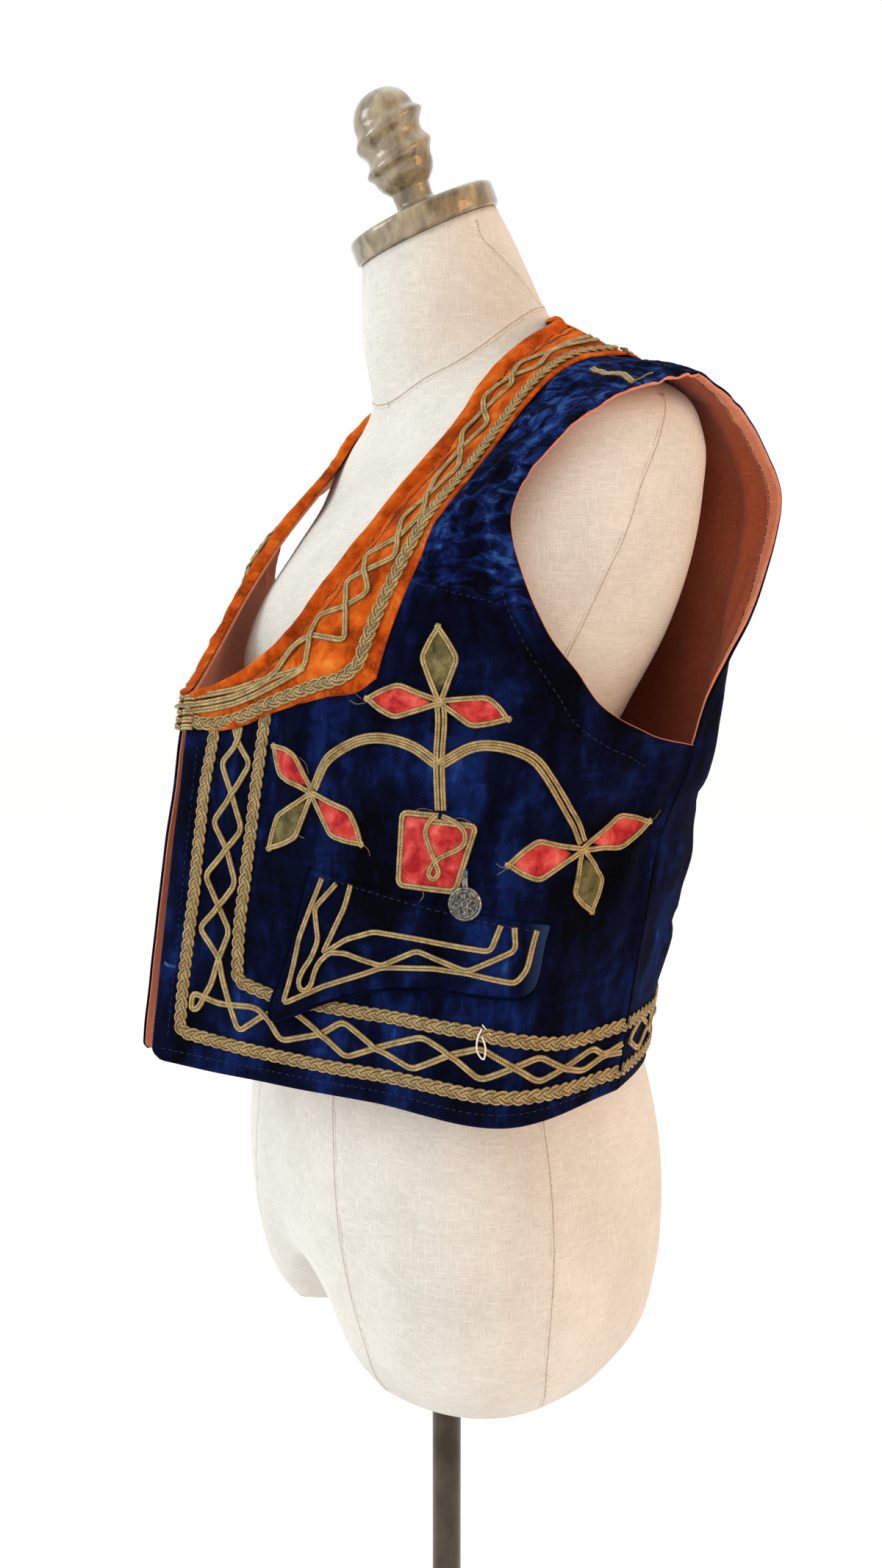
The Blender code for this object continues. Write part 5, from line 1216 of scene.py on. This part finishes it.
def make_flowers(front):
    """Every leaf and pot: a patch of its own cloth, with a cord sewn round it."""
    outline = Piece()
    for name, base_across, base_up, tip_across, tip_up, wide, cloth in LEAVES:
        base, tip = np.array((base_across, base_up), float), np.array((tip_across, tip_up), float)
        ahead, back = tip - base, unit(tip - base)
        aside = np.array((-back[1], back[0]))
        left, right = ([base + ahead * share + aside * side * wide / 2 * part for share, part in
                        ((0.22, 0.52), (0.55, 1.0), (0.80, 0.55))] for side in (1, -1))
        piece = Piece()
        places = patch(piece, front, ([base, *left[:2]], [*left[1:], tip], [right[1], right[2], tip],
                                      [base, *right[:2]]), 0.9)
        piece.done(f"leaf_{name}_cloth", cloth, f"leaf_{name}", twin=True, cut=places, on="front_velvet{}")
        meet = np.array(min(NODES.values(), key=lambda spot: math.dist(spot, base)), float)
        line = rounded([tip + back * 2.4 - aside * 0.6, tip, *left[::-1], meet - back * 1.5, *right,
                        tip - aside * 0.4, tip + back * 1.9 + aside * 0.7], 3.2, 1.2)
        cord(outline, front, line, OUTLINE_LIE, two_ply(3.4, 1.7))
    a, b, c, d = np.array(POT, float)
    piece = Piece()
    places = patch(piece, front, ([d, a], [a, b], [c, b], [d, c]), 0.8, 20)
    piece.done("flower_pot_cloth", "red", "flower_pot", twin=True, cut=places, on="front_velvet{}")
    line = rounded([(a + b) / 2 + (0, 2.0), a, d, c, b, (a + b) / 2 + (-3, -1.2)], 3.5, 1.2)
    cord(outline, front, line, OUTLINE_LIE, two_ply(3.6, 1.7))
    cord(outline, front, rounded(POT_LOOP, 4.5, 1.2), OUTLINE_LIE + 1.1, two_ply(3.0, 1.5))
    outline.done("flower_outline_cords", "gold_thread", twin=True)


def make_flap_cords(front):
    piece = Piece()
    for route, raised in ((FLAP_OUTER_CORD, 0.0), (FLAP_INNER_CORD, 0.0), (FLAP_WAVE_CORD, 0.9)):
        cord(piece, front, rounded(route, 3.2), FLAP_TOP_LIFT + 0.5 + raised, two_ply(3.4, 1.6), relief=flap_relief)
    piece.done("flap_cords", "gold_thread", "flap_cord", twin=True)


# --------------------------------------------------------------------------- small pieces
def stitch_row(piece, side, line, lift, long=2.6, gap=1.9, wide=0.55, seed=0.0, relief=None):
    """A row of running stitches, each a short thread that dips into the cloth at both ends."""
    start, number = 1.0, 0
    while start + long < run_of(line)[-1]:
        reach = long * (1 + 0.18 * math.sin(number * 2.1 + seed))
        steps = at_runs(line, start + reach * np.array((0, 0.25, 0.5, 0.75, 1)))
        rise = lift + (relief or side.relief)(steps) + np.array((-0.25, 0.12, 0.22, 0.12, -0.25))
        piece.sweep(*side.lay(steps, rise), oval(wide, wide * 0.8, 5))
        start += reach + gap * (1 + 0.2 * math.cos(number * 1.7 + seed))
        number += 1


def make_stitches(front, back):
    piece = Piece()
    for number, row in enumerate(FRONT_STITCHES):
        stitch_row(piece, front, even(row, 2.0), VELVET_TOP + 0.05, seed=number)
    stitch_row(piece, front, even(FLAP_STITCHES, 2.0), FLAP_TOP_LIFT, seed=len(FRONT_STITCHES), relief=flap_relief)
    piece.done("topstitch_front", "navy_thread", twin=True)
    piece = Piece()
    for number, row in enumerate(BACK_STITCHES):
        stitch_row(piece, back, even(row, 2.0), VELVET_TOP + 0.05, seed=number)
    piece.done("topstitch_back", "navy_thread")

    piece = Piece()
    line = even(COLLAR_SEAM, 2.0)
    # Dark lines of painted shade: along the seam itself, and a fainter one where its turnings end.
    for off, sunk, wide in ((0.0, 1.2, 1.5), (-6.6, 0.35, 0.9)):
        route = beside(line, off)
        lift = COLLAR_TOP - sunk + ripple(route, 7, 2.4, 12.4, 0.7) * math.exp(-(off / 8) ** 2)
        cord(piece, front, route, lift + ripple(route, 17, 1.1, 6.6), oval(wide, 0.8, 6), relief=no_folds)
    piece.done("collar_seam_painted_shade", "orange_painted_shade", twin=True)
    piece = Piece()
    stitch_row(piece, front, line + (1.4, 0), COLLAR_TOP - 0.5, 2.2, 1.6, 0.6, relief=no_folds)
    rim = collar_line(0.955)
    stitch_row(piece, front, rim[run_of(rim) > 8], COLLAR_TOP + 0.1, 2.2, 1.6, 0.5, 2.0, no_folds)
    piece.done("topstitch_collar", "orange_thread", twin=True)

    piece = Piece()
    inside = beside(even(BACK_ARMHOLE, 2.0), FACING_WIDE - 2.5)[4:-3]
    for sign in (1, -1):
        stitch_row(piece, back, inside * (sign, 1), -1.1, 4.2, 1.6, 0.7, 3.0 + sign, back.calm)
    piece.done("facing_stitches_back", "dark_thread")


def coin_frame():
    """The coin's own axes: its centre on the back of the disc, its outward direction and its up."""
    points = np.array([vertex.co[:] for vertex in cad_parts["coin_pendant"].data.vertices])
    out = facing(front_surface, np.array([COIN_CENTRE], float))[0]
    across = unit(np.cross((0, 0, 1), out))
    centre = front_surface(COIN_CENTRE)
    centre = centre + out * ((points - centre) @ out).min()
    return Matrix([*np.column_stack([across, np.cross(out, across), out, centre]).tolist(), (0, 0, 0, 1)])


def struck_ring(coin, place, radius, wide, high):
    """A raised ring on the coin's face."""
    profile = [((radius + wide * math.cos(angle)) * MM, high * math.sin(angle) * MM)
               for angle in np.linspace(0, math.pi, 7)]
    coin.spin(profile, place, steps=24, closed=True)


def make_coin():
    """A struck folk coin: beaded rim, six rings round a middle one, a ribbed shank and its thread."""
    coin = Piece()
    thick, edge = COIN_THICK * MM, COIN_RADIUS * MM
    coin.spin([(edge * out, thick * up) for out, up in COIN_PROFILE], steps=72)
    level = thick * 0.55
    struck_ring(coin, (0, 0, level), COIN_RADIUS * 0.76, 0.34, 0.5)
    for k in range(6):
        angle = math.radians(60 * k + 12)
        struck_ring(coin, (edge * 0.48 * math.cos(angle), edge * 0.48 * math.sin(angle), level), 1.65, 0.38, 0.8)
    struck_ring(coin, (0, 0, level), 1.8, 0.42, 0.9)
    beads = bmesh.new()
    for k in range(34):
        angle = FULL_TURN * k / 34
        place = Matrix.Translation((edge * 0.89 * math.cos(angle), edge * 0.89 * math.sin(angle), thick * 0.66))
        bmesh.ops.create_icosphere(beads, subdivisions=1, radius=0.5 * MM, matrix=place)
    bmesh.ops.create_icosphere(beads, subdivisions=2, radius=0.7 * MM, matrix=Matrix.Translation((0, 0, level)))
    coin.take(beads)
    shank = np.linspace(COIN_RADIUS - 0.6, SHANK_TOP, 26)
    arch = 0.9 + 1.1 * np.sin(math.pi * (shank - shank[0]) / (shank[-1] - shank[0]))
    for aside in (-1.0, 0.0, 1.0):
        route = np.stack([aside * (1.1 - 0.3 * (shank - shank[0]) / 9), shank, arch], axis=1) * MM
        coin.sweep(route, (0, 0, 1.0), oval(1.1, 1.3, 8))
    across = np.linspace(-1.5, 1.5, 7)
    for k in range(5):
        rise = 1.4 + 0.5 * np.cos(across / 1.5 * 1.4) + 0.5 * math.sin(math.pi * k / 5)
        coin.sweep(np.stack([across, 11.5 + 1.3 * k + 0 * across, rise], axis=1) * MM, (0, 0, 1.0), oval(0.6, 0.6, 6))
    field = Piece()
    field.spin([(edge * out, thick * up) for out, up in ((0, 0.4), (0.86, 0.4), (0.86, 0.72), (0, 0.74))], steps=48)
    thread = Piece()
    turn = np.linspace(0.3, math.pi - 0.3, 12)
    for aside in (-0.9, 0, 0.9):
        route = np.stack([aside + 0 * turn, SHANK_TOP - 1.2 + 2.6 * np.cos(turn), 0.4 + 2.2 * np.sin(turn)], axis=1)
        thread.sweep(route * MM, (1.0, 0, 0), oval(0.5, 0.5, 6))
    place = coin_frame()
    for piece in (coin, field, thread):
        bmesh.ops.transform(piece.mesh, matrix=place, verts=piece.mesh.verts)
    coin.done("coin_pendant_struck", "pewter", "coin_pendant", sharp=50)
    field.done("coin_field_tarnished", "tarnish", sharp=50)
    thread.done("coin_thread", "blue_thread", slot="pewter")


def loose_thread(piece, front, places, lifts, wide):
    line = even(places, 0.7)
    rise = np.interp(np.linspace(0, 1, len(line)), np.linspace(0, 1, len(lifts)), lifts)
    cord(piece, front, line, VELVET_TOP + rise, oval(wide, wide, 6))


def make_threads(front):
    """The worked hook at the front, a white tie on the braid, a blue bar at the edge, and stray ends."""
    hook = Piece()
    side = np.array((HOOK_ACROSS, HOOK_THREAD_UP), float)
    end = front_surface(side) + facing(front_surface, side[None])[0] * HOOK_OFF * MM
    bow = np.array((0, -HOOK_BOW, HOOK_BOW / 2)) * MM
    knots = [end, end * (0.5, 1, 1) + bow * 0.7, end * (0, 1, 1) + bow]
    knots = np.array(knots + [knot * (-1, 1, 1) for knot in knots[1::-1]])
    middle = even(knots / MM, 0.5) * MM
    ups = np.tile((0, -0.9, 0.44), (len(middle), 1))
    aside = unit(np.cross(np.gradient(middle, axis=0), ups))
    turn = run_of(middle) / (HOOK_TWIST * MM) * FULL_TURN
    for phase in (0, FULL_TURN / 3, 2 * FULL_TURN / 3):
        ply = (aside * np.cos(turn + phase)[:, None] + ups * np.sin(turn + phase)[:, None]) * 0.55 * MM
        hook.sweep(middle + ply, ups, oval(1.15, 1.15, 7))
    hook.done("front_hook_thread", "gold_thread", "front_hook")

    ties = Piece()
    loose_thread(ties, front, ((217, 54), (215, 48), (216, 41), (219, 38), (220, 43), (217.5, 50)),
                 (1.6, 2.6, 3.2, 2.8, 2.4, 1.8), 1.0)
    loose_thread(ties, front, ((217, 56), (221, 52), (224, 49)), (1.2, 1.4, 0.8), 0.8)
    ties.done("white_tie", "white_thread")
    bar = Piece()
    for off in (-0.5, 0.5):
        loose_thread(bar, front, ((3.5, 63 + off), (7, 62 + off), (12, 61.5 + off)), (-0.2, 0.9, -0.2), 0.8)
    bar.done("blue_bar", "blue_thread")
    stray = Piece()
    for places in STRAY_ENDS:
        loose_thread(stray, front, places, (1.2, 1.8, 0.9), 0.35)
    stray.done("stray_thread_ends", "gold_thread", twin=True)


# --------------------------------------------------------------------------- finishes
def linear(code):
    """An sRGB hex colour as linear RGBA."""
    channels = [int(code[k:k + 2], 16) / 255 for k in (0, 2, 4)]
    return (*[c / 12.92 if c <= 0.04045 else ((c + 0.055) / 1.055) ** 2.4 for c in channels], 1.0)


def node(tree, kind, values=None, links=None, ramp=None, **settings):
    """Add a shader node with its settings, its socket values and links into it; gives its outputs."""
    made = tree.nodes.new("ShaderNode" + kind)
    for name, value in settings.items():
        setattr(made, name, value)
    for socket, value in (values or {}).items():
        made.inputs[socket].default_value = value
    for socket, source in (links or {}).items():
        tree.links.new(source, made.inputs[socket])
    if ramp:
        stops = made.color_ramp.elements
        while len(stops) < len(ramp):
            stops.new(1.0)
        for stop, (place, code) in zip(stops, ramp):
            stop.position, stop.color = place, linear(code)
    return made.outputs


def finish(name, **surface):
    """A new material with some of its shader's sockets set, and its tree."""
    made = bpy.data.materials.new(name)
    made.use_nodes = True
    for socket, value in surface.items():
        made.node_tree.nodes["Principled BSDF"].inputs[socket.replace("_", " ")].default_value = value
    return made, made.node_tree


def dressed(made, **sources):
    """The material, with its shader's sockets linked to their sources."""
    for socket, source in sources.items():
        made.node_tree.links.new(source, made.node_tree.nodes["Principled BSDF"].inputs[socket.replace("_", " ")])
    return made


NOWHERE = 9.0                  # metres of cloth: past the edge of every piece


def velvet(name, tones, patch, sheen, stretch=0.42, crumpled=(NOWHERE, NOWHERE + 1, 0.0), pale_end=NOWHERE):
    """Crushed velvet: a cut pile about 1.5 mm tall that leans in patches, so it is dark where the eye
    looks into it and light where it leans away. These patches are partly the pile's own colour and
    partly painted sheen and shade: the tone that colours them also raises the bump, so its ridges are
    painted lighter and its hollows darker. The patches run up the cloth. Above the line crumpled
    (where it starts and is full, m up the pattern, and its slope) the pile is crushed flat in short
    streaks, each with a painted highlight on one side and painted shade on the other. Past pale_end
    (m across) it is brushed the other way and its colour is painted paler there, as sheen."""
    made, tree = finish(name, Roughness=0.8, Sheen_Weight=sheen, Sheen_Roughness=0.35,
                        Sheen_Tint=linear(tones[-1]), Specular_IOR_Level=0.03)
    lay = node(tree, "UVMap", uv_map="lay")["UV"]
    pattern = node(tree, "SeparateXYZ", links={"Vector": lay})
    # The object's own left and right go in as the third axis, so that the two fronts differ.
    where = node(tree, "TexCoord")["Object"]
    sides = node(tree, "SeparateXYZ", links={"Vector": where})["X"]
    cloth = node(tree, "CombineXYZ", links={"X": pattern["X"], "Y": pattern["Y"], "Z": sides})["Vector"]
    tall = node(tree, "Mapping", {"Scale": (1.0, stretch, 0.5)}, {"Vector": cloth})["Vector"]
    lean = node(tree, "TexNoise", {"Scale": 1000 / patch, "Detail": 4.0, "Roughness": 0.55, "Distortion": 0.5},
                {"Vector": tall})["Fac"]
    crush = node(tree, "TexNoise", {"Scale": 1000 / 7.0, "Detail": 3.0, "Roughness": 0.6, "Distortion": 0.6},
                 {"Vector": tall})["Fac"]
    # The pile is 0.3 mm thick yarn ends; drawn as 0.8 mm tufts, as coarse as it needs to show.
    pile = node(tree, "TexNoise", {"Scale": 1000 / 0.8, "Detail": 2.0, "Roughness": 0.6}, {"Vector": lay})["Fac"]
    tone = node(tree, "Mix", {0: 0.26}, {2: lean, 3: crush}, data_type="FLOAT")[0]
    tone = node(tree, "Mix", {0: 0.14}, {2: tone, 3: pile}, data_type="FLOAT")[0]
    # Streaks of flattened pile: short ones across the cloth, with a painted highlight on one side and painted shade on
    # the other.
    flat = node(tree, "Mapping", {"Scale": (0.5, 1.35, 0.5), "Rotation": (0, 0, -0.35)}, {"Vector": cloth})["Vector"]
    streak = node(tree, "TexNoise", {"Scale": 1000 / 11.0, "Detail": 3.0, "Roughness": 0.55, "Distortion": 0.7},
                  {"Vector": flat})["Fac"]
    streak_light_and_shade = node(tree, "MapRange", {"From Min": 0.36, "From Max": 0.64, "To Min": -0.3, "To Max": 1.0},
                   {"Value": streak}, interpolation_type="SMOOTHSTEP")["Result"]
    height = node(tree, "Math", {1: crumpled[2]}, {0: pattern["X"], 2: pattern["Y"]}, operation="MULTIPLY_ADD")["Value"]
    streak_light_strength = node(tree, "MapRange", {"From Min": crumpled[0], "From Max": crumpled[1], "To Min": 0.03, "To Max": 0.17},
                  {"Value": height})["Result"]
    tone = node(tree, "Math", links={0: streak_light_and_shade, 1: streak_light_strength, 2: tone}, operation="MULTIPLY_ADD")["Value"]
    # The tone paints sheen and shade into the colour: it also raises the bump, so ridges are lighter and hollows
    # darker.
    colour = node(tree, "ValToRGB", links={"Fac": tone}, ramp=tuple(zip((0.41, 0.53, 0.65, 0.80), tones)))
    # Past pale_end the colour is mixed towards a paler blue: painted sheen, where the nap is brushed the other way.
    brushed = node(tree, "MapRange", {"From Min": pale_end, "From Max": pale_end + 0.014, "To Min": 0.0, "To Max": 0.6},
                   {"Value": pattern["X"]})["Result"]
    colour = node(tree, "Mix", {7: linear("34507F")}, {0: brushed, 6: colour["Color"]}, data_type="RGBA")[2]
    bent = node(tree, "Bump", {"Strength": 0.7, "Distance": 0.005}, {"Height": tone})["Normal"]
    bent = node(tree, "Bump", {"Strength": 0.6, "Distance": 0.0005}, {"Height": pile, "Normal": bent})["Normal"]
    return dressed(made, Base_Color=colour, Normal=bent)


def make_finishes():
    """Every finish by its short name, with the record's slot that it stands for."""
    # Navy crushed velvet, silk or viscose pile: nearly black in the hollows with painted shade, blue where it leans
    # with painted sheen. The fronts are crumpled above the yoke seam; the back fades into its crumpled shoulders; there
    # the streaks carry painted highlights. The flap's outer end is brushed the other way and painted paler.
    navy = ("02030A", "060D2A", "102560", "3560A6")
    fronts = velvet("navy_velvet_of_the_fronts", navy, 34.0, 0.05, crumpled=(0.333, 0.341, 0.2))
    back = velvet("navy_velvet_of_the_back", navy, 34.0, 0.05, crumpled=(0.34, 0.46, 0.0))
    flap = velvet("navy_velvet_of_the_flap", navy, 34.0, 0.05, pale_end=0.236)
    # Burnt orange velvet of the collar, painted lighter on the ridges of its bump as highlight; red and olive on the
    # leaves and the pot.
    orange = velvet("burnt_orange_velvet", ("86300A", "C45212", "E07628", "F6A858"), 17.0, 0.35, 0.85)
    red = velvet("red_velvet_patches", ("9E2428", "C8423F", "DE6A62", "F4A296"), 9.0, 0.2, 0.8)
    olive = velvet("olive_velvet_patches", ("45422D", "66603F", "837D58", "A8A27E"), 9.0, 0.15, 0.8)
    FINISHES.update(
        front_velvet=("navy_velvet", fronts), back_velvet=("navy_velvet", back), flap_velvet=("navy_velvet", flap),
        orange_velvet=("orange_velvet", orange), red=("red_velvet", red), olive=("olive_velvet", olive),
        # Salmon cotton lining, and the form's off-white canvas, both plain woven. The back's lining, seen deep in the
        # armholes, is a copy of the cotton darkened with painted shade.
        lining_cotton=("lining_cotton", plain_weave("salmon_shaded_lining_cotton", "8A3E25", "A95838", 0.25)),
        # The same cotton painted lighter, as lit, for the fronts' lining, the lining's edges and the facing.
        facing_cotton=("lining_cotton", plain_weave("salmon_facing_cotton", "C26C4C", "DE9270", 0.25)),
        canvas=("canvas", plain_weave("off_white_form_canvas", "C2C3BC", "DFE0DA", 0.6)),
        # Dull gilt cord and braid: two smooth plies, with painted shade as a dark line between them and on the cords'
        # sides and undersides.
        gold_thread=("gold_thread", twisted("khaki_gold_braid", "645430", "9C8652", "CCB680", groove="382B10")),
        # Cast resin of the neck cap and finial; bronzed steel of the pole and base.
        antiqued_resin=("antiqued_resin", resin()), dark_steel=("dark_steel", steel()),
        # Base silver of the coin: rubbed on its relief, black in its field.
        pewter=("pewter", silver("tarnished_coin_silver", ("54554F", "8C8D87", "C0C0BA"))),
        tarnish=("pewter", silver("coin_tarnish", ("30312E", "4C4D48", "6C6D67"))))
    # Sewing threads, and dark lines of painted shade laid in the dips where seams pull the cloth in.
    for name, slot, low, high in (
            ("navy_thread", "navy_velvet", "070D24", "17254E"),
            ("orange_thread", "orange_velvet", "8A3808", "C26A22"),
            ("dark_thread", "lining_cotton", "1C1A22", "3A3640"),
            ("white_thread", "lining_cotton", "D9D5CB", "F5F3EC"),
            ("blue_thread", "navy_velvet", "1C3560", "39609A"), ("cream_thread", "canvas", "C9B99C", "E6DAC4"),
            ("seam_painted_shade", "canvas", "9A8B74", "BBAE96"), ("orange_painted_shade", "orange_velvet", "4A1A04", "74300C")):
        FINISHES[name] = (slot, twisted(name, low, high, high))


def plain_weave(name, dark, light, strength):
    """Plain-woven cotton, matt. Its threads are 0.4 mm thick; the slubs that show are drawn about 1 mm
    wide and 12 mm long, one set along the height and one set round."""
    made, tree = finish(name, Roughness=0.88, Specular_IOR_Level=0.2, Sheen_Weight=0.1, Sheen_Roughness=0.5)
    where = node(tree, "TexCoord")["Object"]
    threads = []
    for scale in ((1.0, 1.0, 0.10), (0.10, 0.10, 1.0)):
        stretched = node(tree, "Mapping", {"Scale": scale}, {"Vector": where})["Vector"]
        threads.append(node(tree, "TexNoise", {"Scale": 1050.0, "Detail": 2.0, "Roughness": 0.5},
                            {"Vector": stretched})["Fac"])
    weave = node(tree, "Math", links={0: threads[0], 1: threads[1]}, operation="MAXIMUM")["Value"]
    cloud = node(tree, "TexNoise", {"Scale": 14.0, "Detail": 5.0, "Roughness": 0.6}, {"Vector": where})["Fac"]
    tone = node(tree, "Mix", {0: 0.6}, {2: cloud, 3: weave}, data_type="FLOAT")[0]
    colour = node(tree, "ValToRGB", links={"Fac": tone}, ramp=((0.38, dark), (0.66, light)))["Color"]
    bent = node(tree, "Bump", {"Strength": strength, "Distance": 0.0006}, {"Height": weave})["Normal"]
    bent = node(tree, "Bump", {"Strength": 0.12, "Distance": 0.002}, {"Height": cloud, "Normal": bent})["Normal"]
    return dressed(made, Base_Color=colour, Normal=bent)


def twisted(name, dark, body, light, groove=None):
    """Twisted thread: plies with yarns of 0.3 mm that wind round at a steep angle. With groove, painted shade
    darkens the middle of a flat cord's face, a quarter of the way round its map, where two plies meet, and darkens its
    sides and underside."""
    made, tree = finish(name, Roughness=0.5, Specular_IOR_Level=0.35, Sheen_Weight=0.15, Sheen_Roughness=0.4,
                        Sheen_Tint=linear(light))
    lay = node(tree, "UVMap", uv_map="lay")["UV"]
    wind = node(tree, "Mapping", {"Scale": (900.0, 5.0, 1.0)}, {"Vector": lay})["Vector"]
    yarn = node(tree, "TexWave", {"Scale": 0.52, "Distortion": 2.0, "Detail": 2.0, "Detail Scale": 1.5},
                {"Vector": wind}, wave_type="BANDS", bands_direction="DIAGONAL")["Fac"]
    where = node(tree, "TexCoord")["Object"]
    worn_spots = node(tree, "TexNoise", {"Scale": 190.0, "Detail": 5.0, "Roughness": 0.7},
                      {"Vector": where})["Fac"]
    tone = node(tree, "Mix", {0: 0.74}, {2: yarn, 3: worn_spots}, data_type="FLOAT")[0]
    colour = node(tree, "ValToRGB", links={"Fac": tone},
                  ramp=((0.30, dark), (0.50, body), (0.68, light)))["Color"]
    if groove is not None:
        # Painted shade: dark in the groove on the face, and on the sides and underside.
        around = node(tree, "SeparateXYZ", links={"Vector": lay})["Y"]
        off = node(tree, "Math", {1: 0.25}, {0: around}, operation="SUBTRACT")["Value"]
        off = node(tree, "Math", links={0: off}, operation="ABSOLUTE")["Value"]
        sunk = node(tree, "MapRange", {"From Min": 0.025, "From Max": 0.075, "To Min": 0.9, "To Max": 0.0},
                    {"Value": off})["Result"]
        low = node(tree, "MapRange", {"From Min": 0.17, "From Max": 0.25, "To Min": 0.0, "To Max": 0.7},
                   {"Value": off})["Result"]
        shade = node(tree, "Math", links={0: sunk, 1: low}, operation="MAXIMUM")["Value"]
        colour = node(tree, "Mix", {7: linear(groove)}, {0: shade, 6: colour}, data_type="RGBA")[2]
    bent = node(tree, "Bump", {"Strength": 0.35, "Distance": 0.0003}, {"Height": yarn})["Normal"]
    bent = node(tree, "Bump", {"Strength": 0.4, "Distance": 0.0005}, {"Height": worn_spots, "Normal": bent})["Normal"]
    return dressed(made, Base_Color=colour, Normal=bent)


def resin():
    """Cast resin, antiqued: olive brown wiped down its sides in streaks, under a thick glossy varnish
    that lies in small waves."""
    made, tree = finish("antiqued_cast_resin", Roughness=0.35, Coat_Weight=1.0, Coat_Roughness=0.04)
    where = node(tree, "TexCoord")["Object"]
    down = node(tree, "Mapping", {"Scale": (1.0, 1.0, 0.45), "Rotation": (-NECK_TILT, 0, 0)},
                {"Vector": where})["Vector"]
    wiped = node(tree, "TexNoise", {"Scale": 110.0, "Detail": 4.0, "Roughness": 0.55, "Distortion": 0.3},
                 {"Vector": down})["Fac"]
    waves = node(tree, "TexNoise", {"Scale": 260.0, "Detail": 2.0}, {"Vector": down})["Fac"]
    colour = node(tree, "ValToRGB", links={"Fac": wiped},
                  ramp=((0.34, "5C5138"), (0.50, "81765A"), (0.68, "A19879")))["Color"]
    bent = node(tree, "Bump", {"Strength": 0.35, "Distance": 0.0008}, {"Height": waves})["Normal"]
    return dressed(made, Base_Color=colour, Coat_Normal=bent)


def steel():
    """Bronzed steel, drawn along its length: fine straight scratches and a dark warm lacquer."""
    made, tree = finish("bronzed_steel", Metallic=1.0)
    where = node(tree, "TexCoord")["Object"]
    drawn = node(tree, "Mapping", {"Scale": (1.0, 1.0, 0.03)}, {"Vector": where})["Vector"]
    scratch = node(tree, "TexNoise", {"Scale": 900.0, "Detail": 3.0}, {"Vector": drawn})["Fac"]
    cloud = node(tree, "TexNoise", {"Scale": 22.0, "Detail": 4.0}, {"Vector": where})["Fac"]
    colour = node(tree, "ValToRGB", links={"Fac": cloud}, ramp=((0.35, "3F3932"), (0.65, "5A5249")))["Color"]
    rough = node(tree, "MapRange", {"From Min": 0.3, "From Max": 0.7, "To Min": 0.26, "To Max": 0.46},
                 {"Value": scratch})["Result"]
    bent = node(tree, "Bump", {"Strength": 0.15, "Distance": 0.0003}, {"Height": scratch})["Normal"]
    return dressed(made, Base_Color=colour, Roughness=rough, Normal=bent)


def silver(name, tones):
    """Struck base silver, tarnished: dark in its hollows and rubbed pale on its rims."""
    made, tree = finish(name, Metallic=0.8, Roughness=0.38)
    where = node(tree, "TexCoord")["Object"]
    tarnish = node(tree, "TexNoise", {"Scale": 420.0, "Detail": 5.0, "Roughness": 0.65}, {"Vector": where})["Fac"]
    colour = node(tree, "ValToRGB", links={"Fac": tarnish}, ramp=tuple(zip((0.36, 0.50, 0.64), tones)))["Color"]
    bent = node(tree, "Bump", {"Strength": 0.25, "Distance": 0.0003}, {"Height": tarnish})["Normal"]
    return dressed(made, Base_Color=colour, Normal=bent)


# --------------------------------------------------------------------------- the room
def make_room():
    """A white floor, a room that is white behind the form and warm beside it, and a camera."""
    floor = bmesh.new()
    bmesh.ops.create_grid(floor, x_segments=2, y_segments=2, size=14.0)
    bmesh.ops.translate(floor, vec=(0, 0, -0.0005), verts=floor.verts)
    stage = link("floor", as_mesh(floor, "floor"))
    stage.data.materials.append(finish("white_floor", Base_Color=linear("FDFDFC"), Roughness=0.8,
                                       Emission_Color=linear("D6E6FF"), Emission_Strength=0.17)[0])

    world = bpy.data.worlds.new("room")
    world.use_nodes = True
    tree = world.node_tree
    out = node(tree, "TexCoord")["Generated"]
    beside = node(tree, "VectorMath", {1: (0.94, 0.34, 0.0)}, {0: out}, operation="DOT_PRODUCT")["Value"]
    colour = node(tree, "ValToRGB", links={"Fac": beside}, ramp=((0.0, "FFFFFF"), (0.8, "E2C4A2")))["Color"]
    tree.links.new(colour, tree.nodes["Background"].inputs["Color"])
    scene = bpy.context.scene
    scene.view_settings.view_transform = "Standard"
    scene.world = world
    for name, place, aim, power, wide, tall, tint in LIGHTS:
        lamp = bpy.data.lights.new(name, "AREA")
        lamp.shape, lamp.size, lamp.size_y = "RECTANGLE", wide, tall
        lamp.energy, lamp.color = power, linear(tint)[:3]
        holder = link(name, lamp)
        holder.location = place
        holder.rotation_euler = (Vector(place) - Vector(aim)).to_track_quat("Z", "Y").to_euler()

    camera = bpy.data.cameras.new("camera")
    camera.sensor_width = camera.sensor_height = 36.0
    camera.lens = CAMERA_LENS
    camera.clip_start, camera.clip_end = 0.02, 60.0
    scene.camera = link("camera", camera)
    scene.camera.location = CAMERA_PLACE
    scene.camera.rotation_euler = (math.radians(90 - CAMERA_DIP), 0, math.radians(CAMERA_HEADING))


# --------------------------------------------------------------------------- making it all
def main():
    make_finishes()
    make_room()
    make_stand(max(vertex.co.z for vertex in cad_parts["stand_pole"].data.vertices))
    form = make_form()
    front = Front(form)
    back = Back(form, front)
    make_panels(front, back)
    make_collar(front, back)
    make_flap(front)
    make_braids(front, back)
    make_cords(front, back)
    make_flowers(front)
    make_flap_cords(front)
    make_stitches(front, back)
    make_coin()
    make_threads(front)


main()
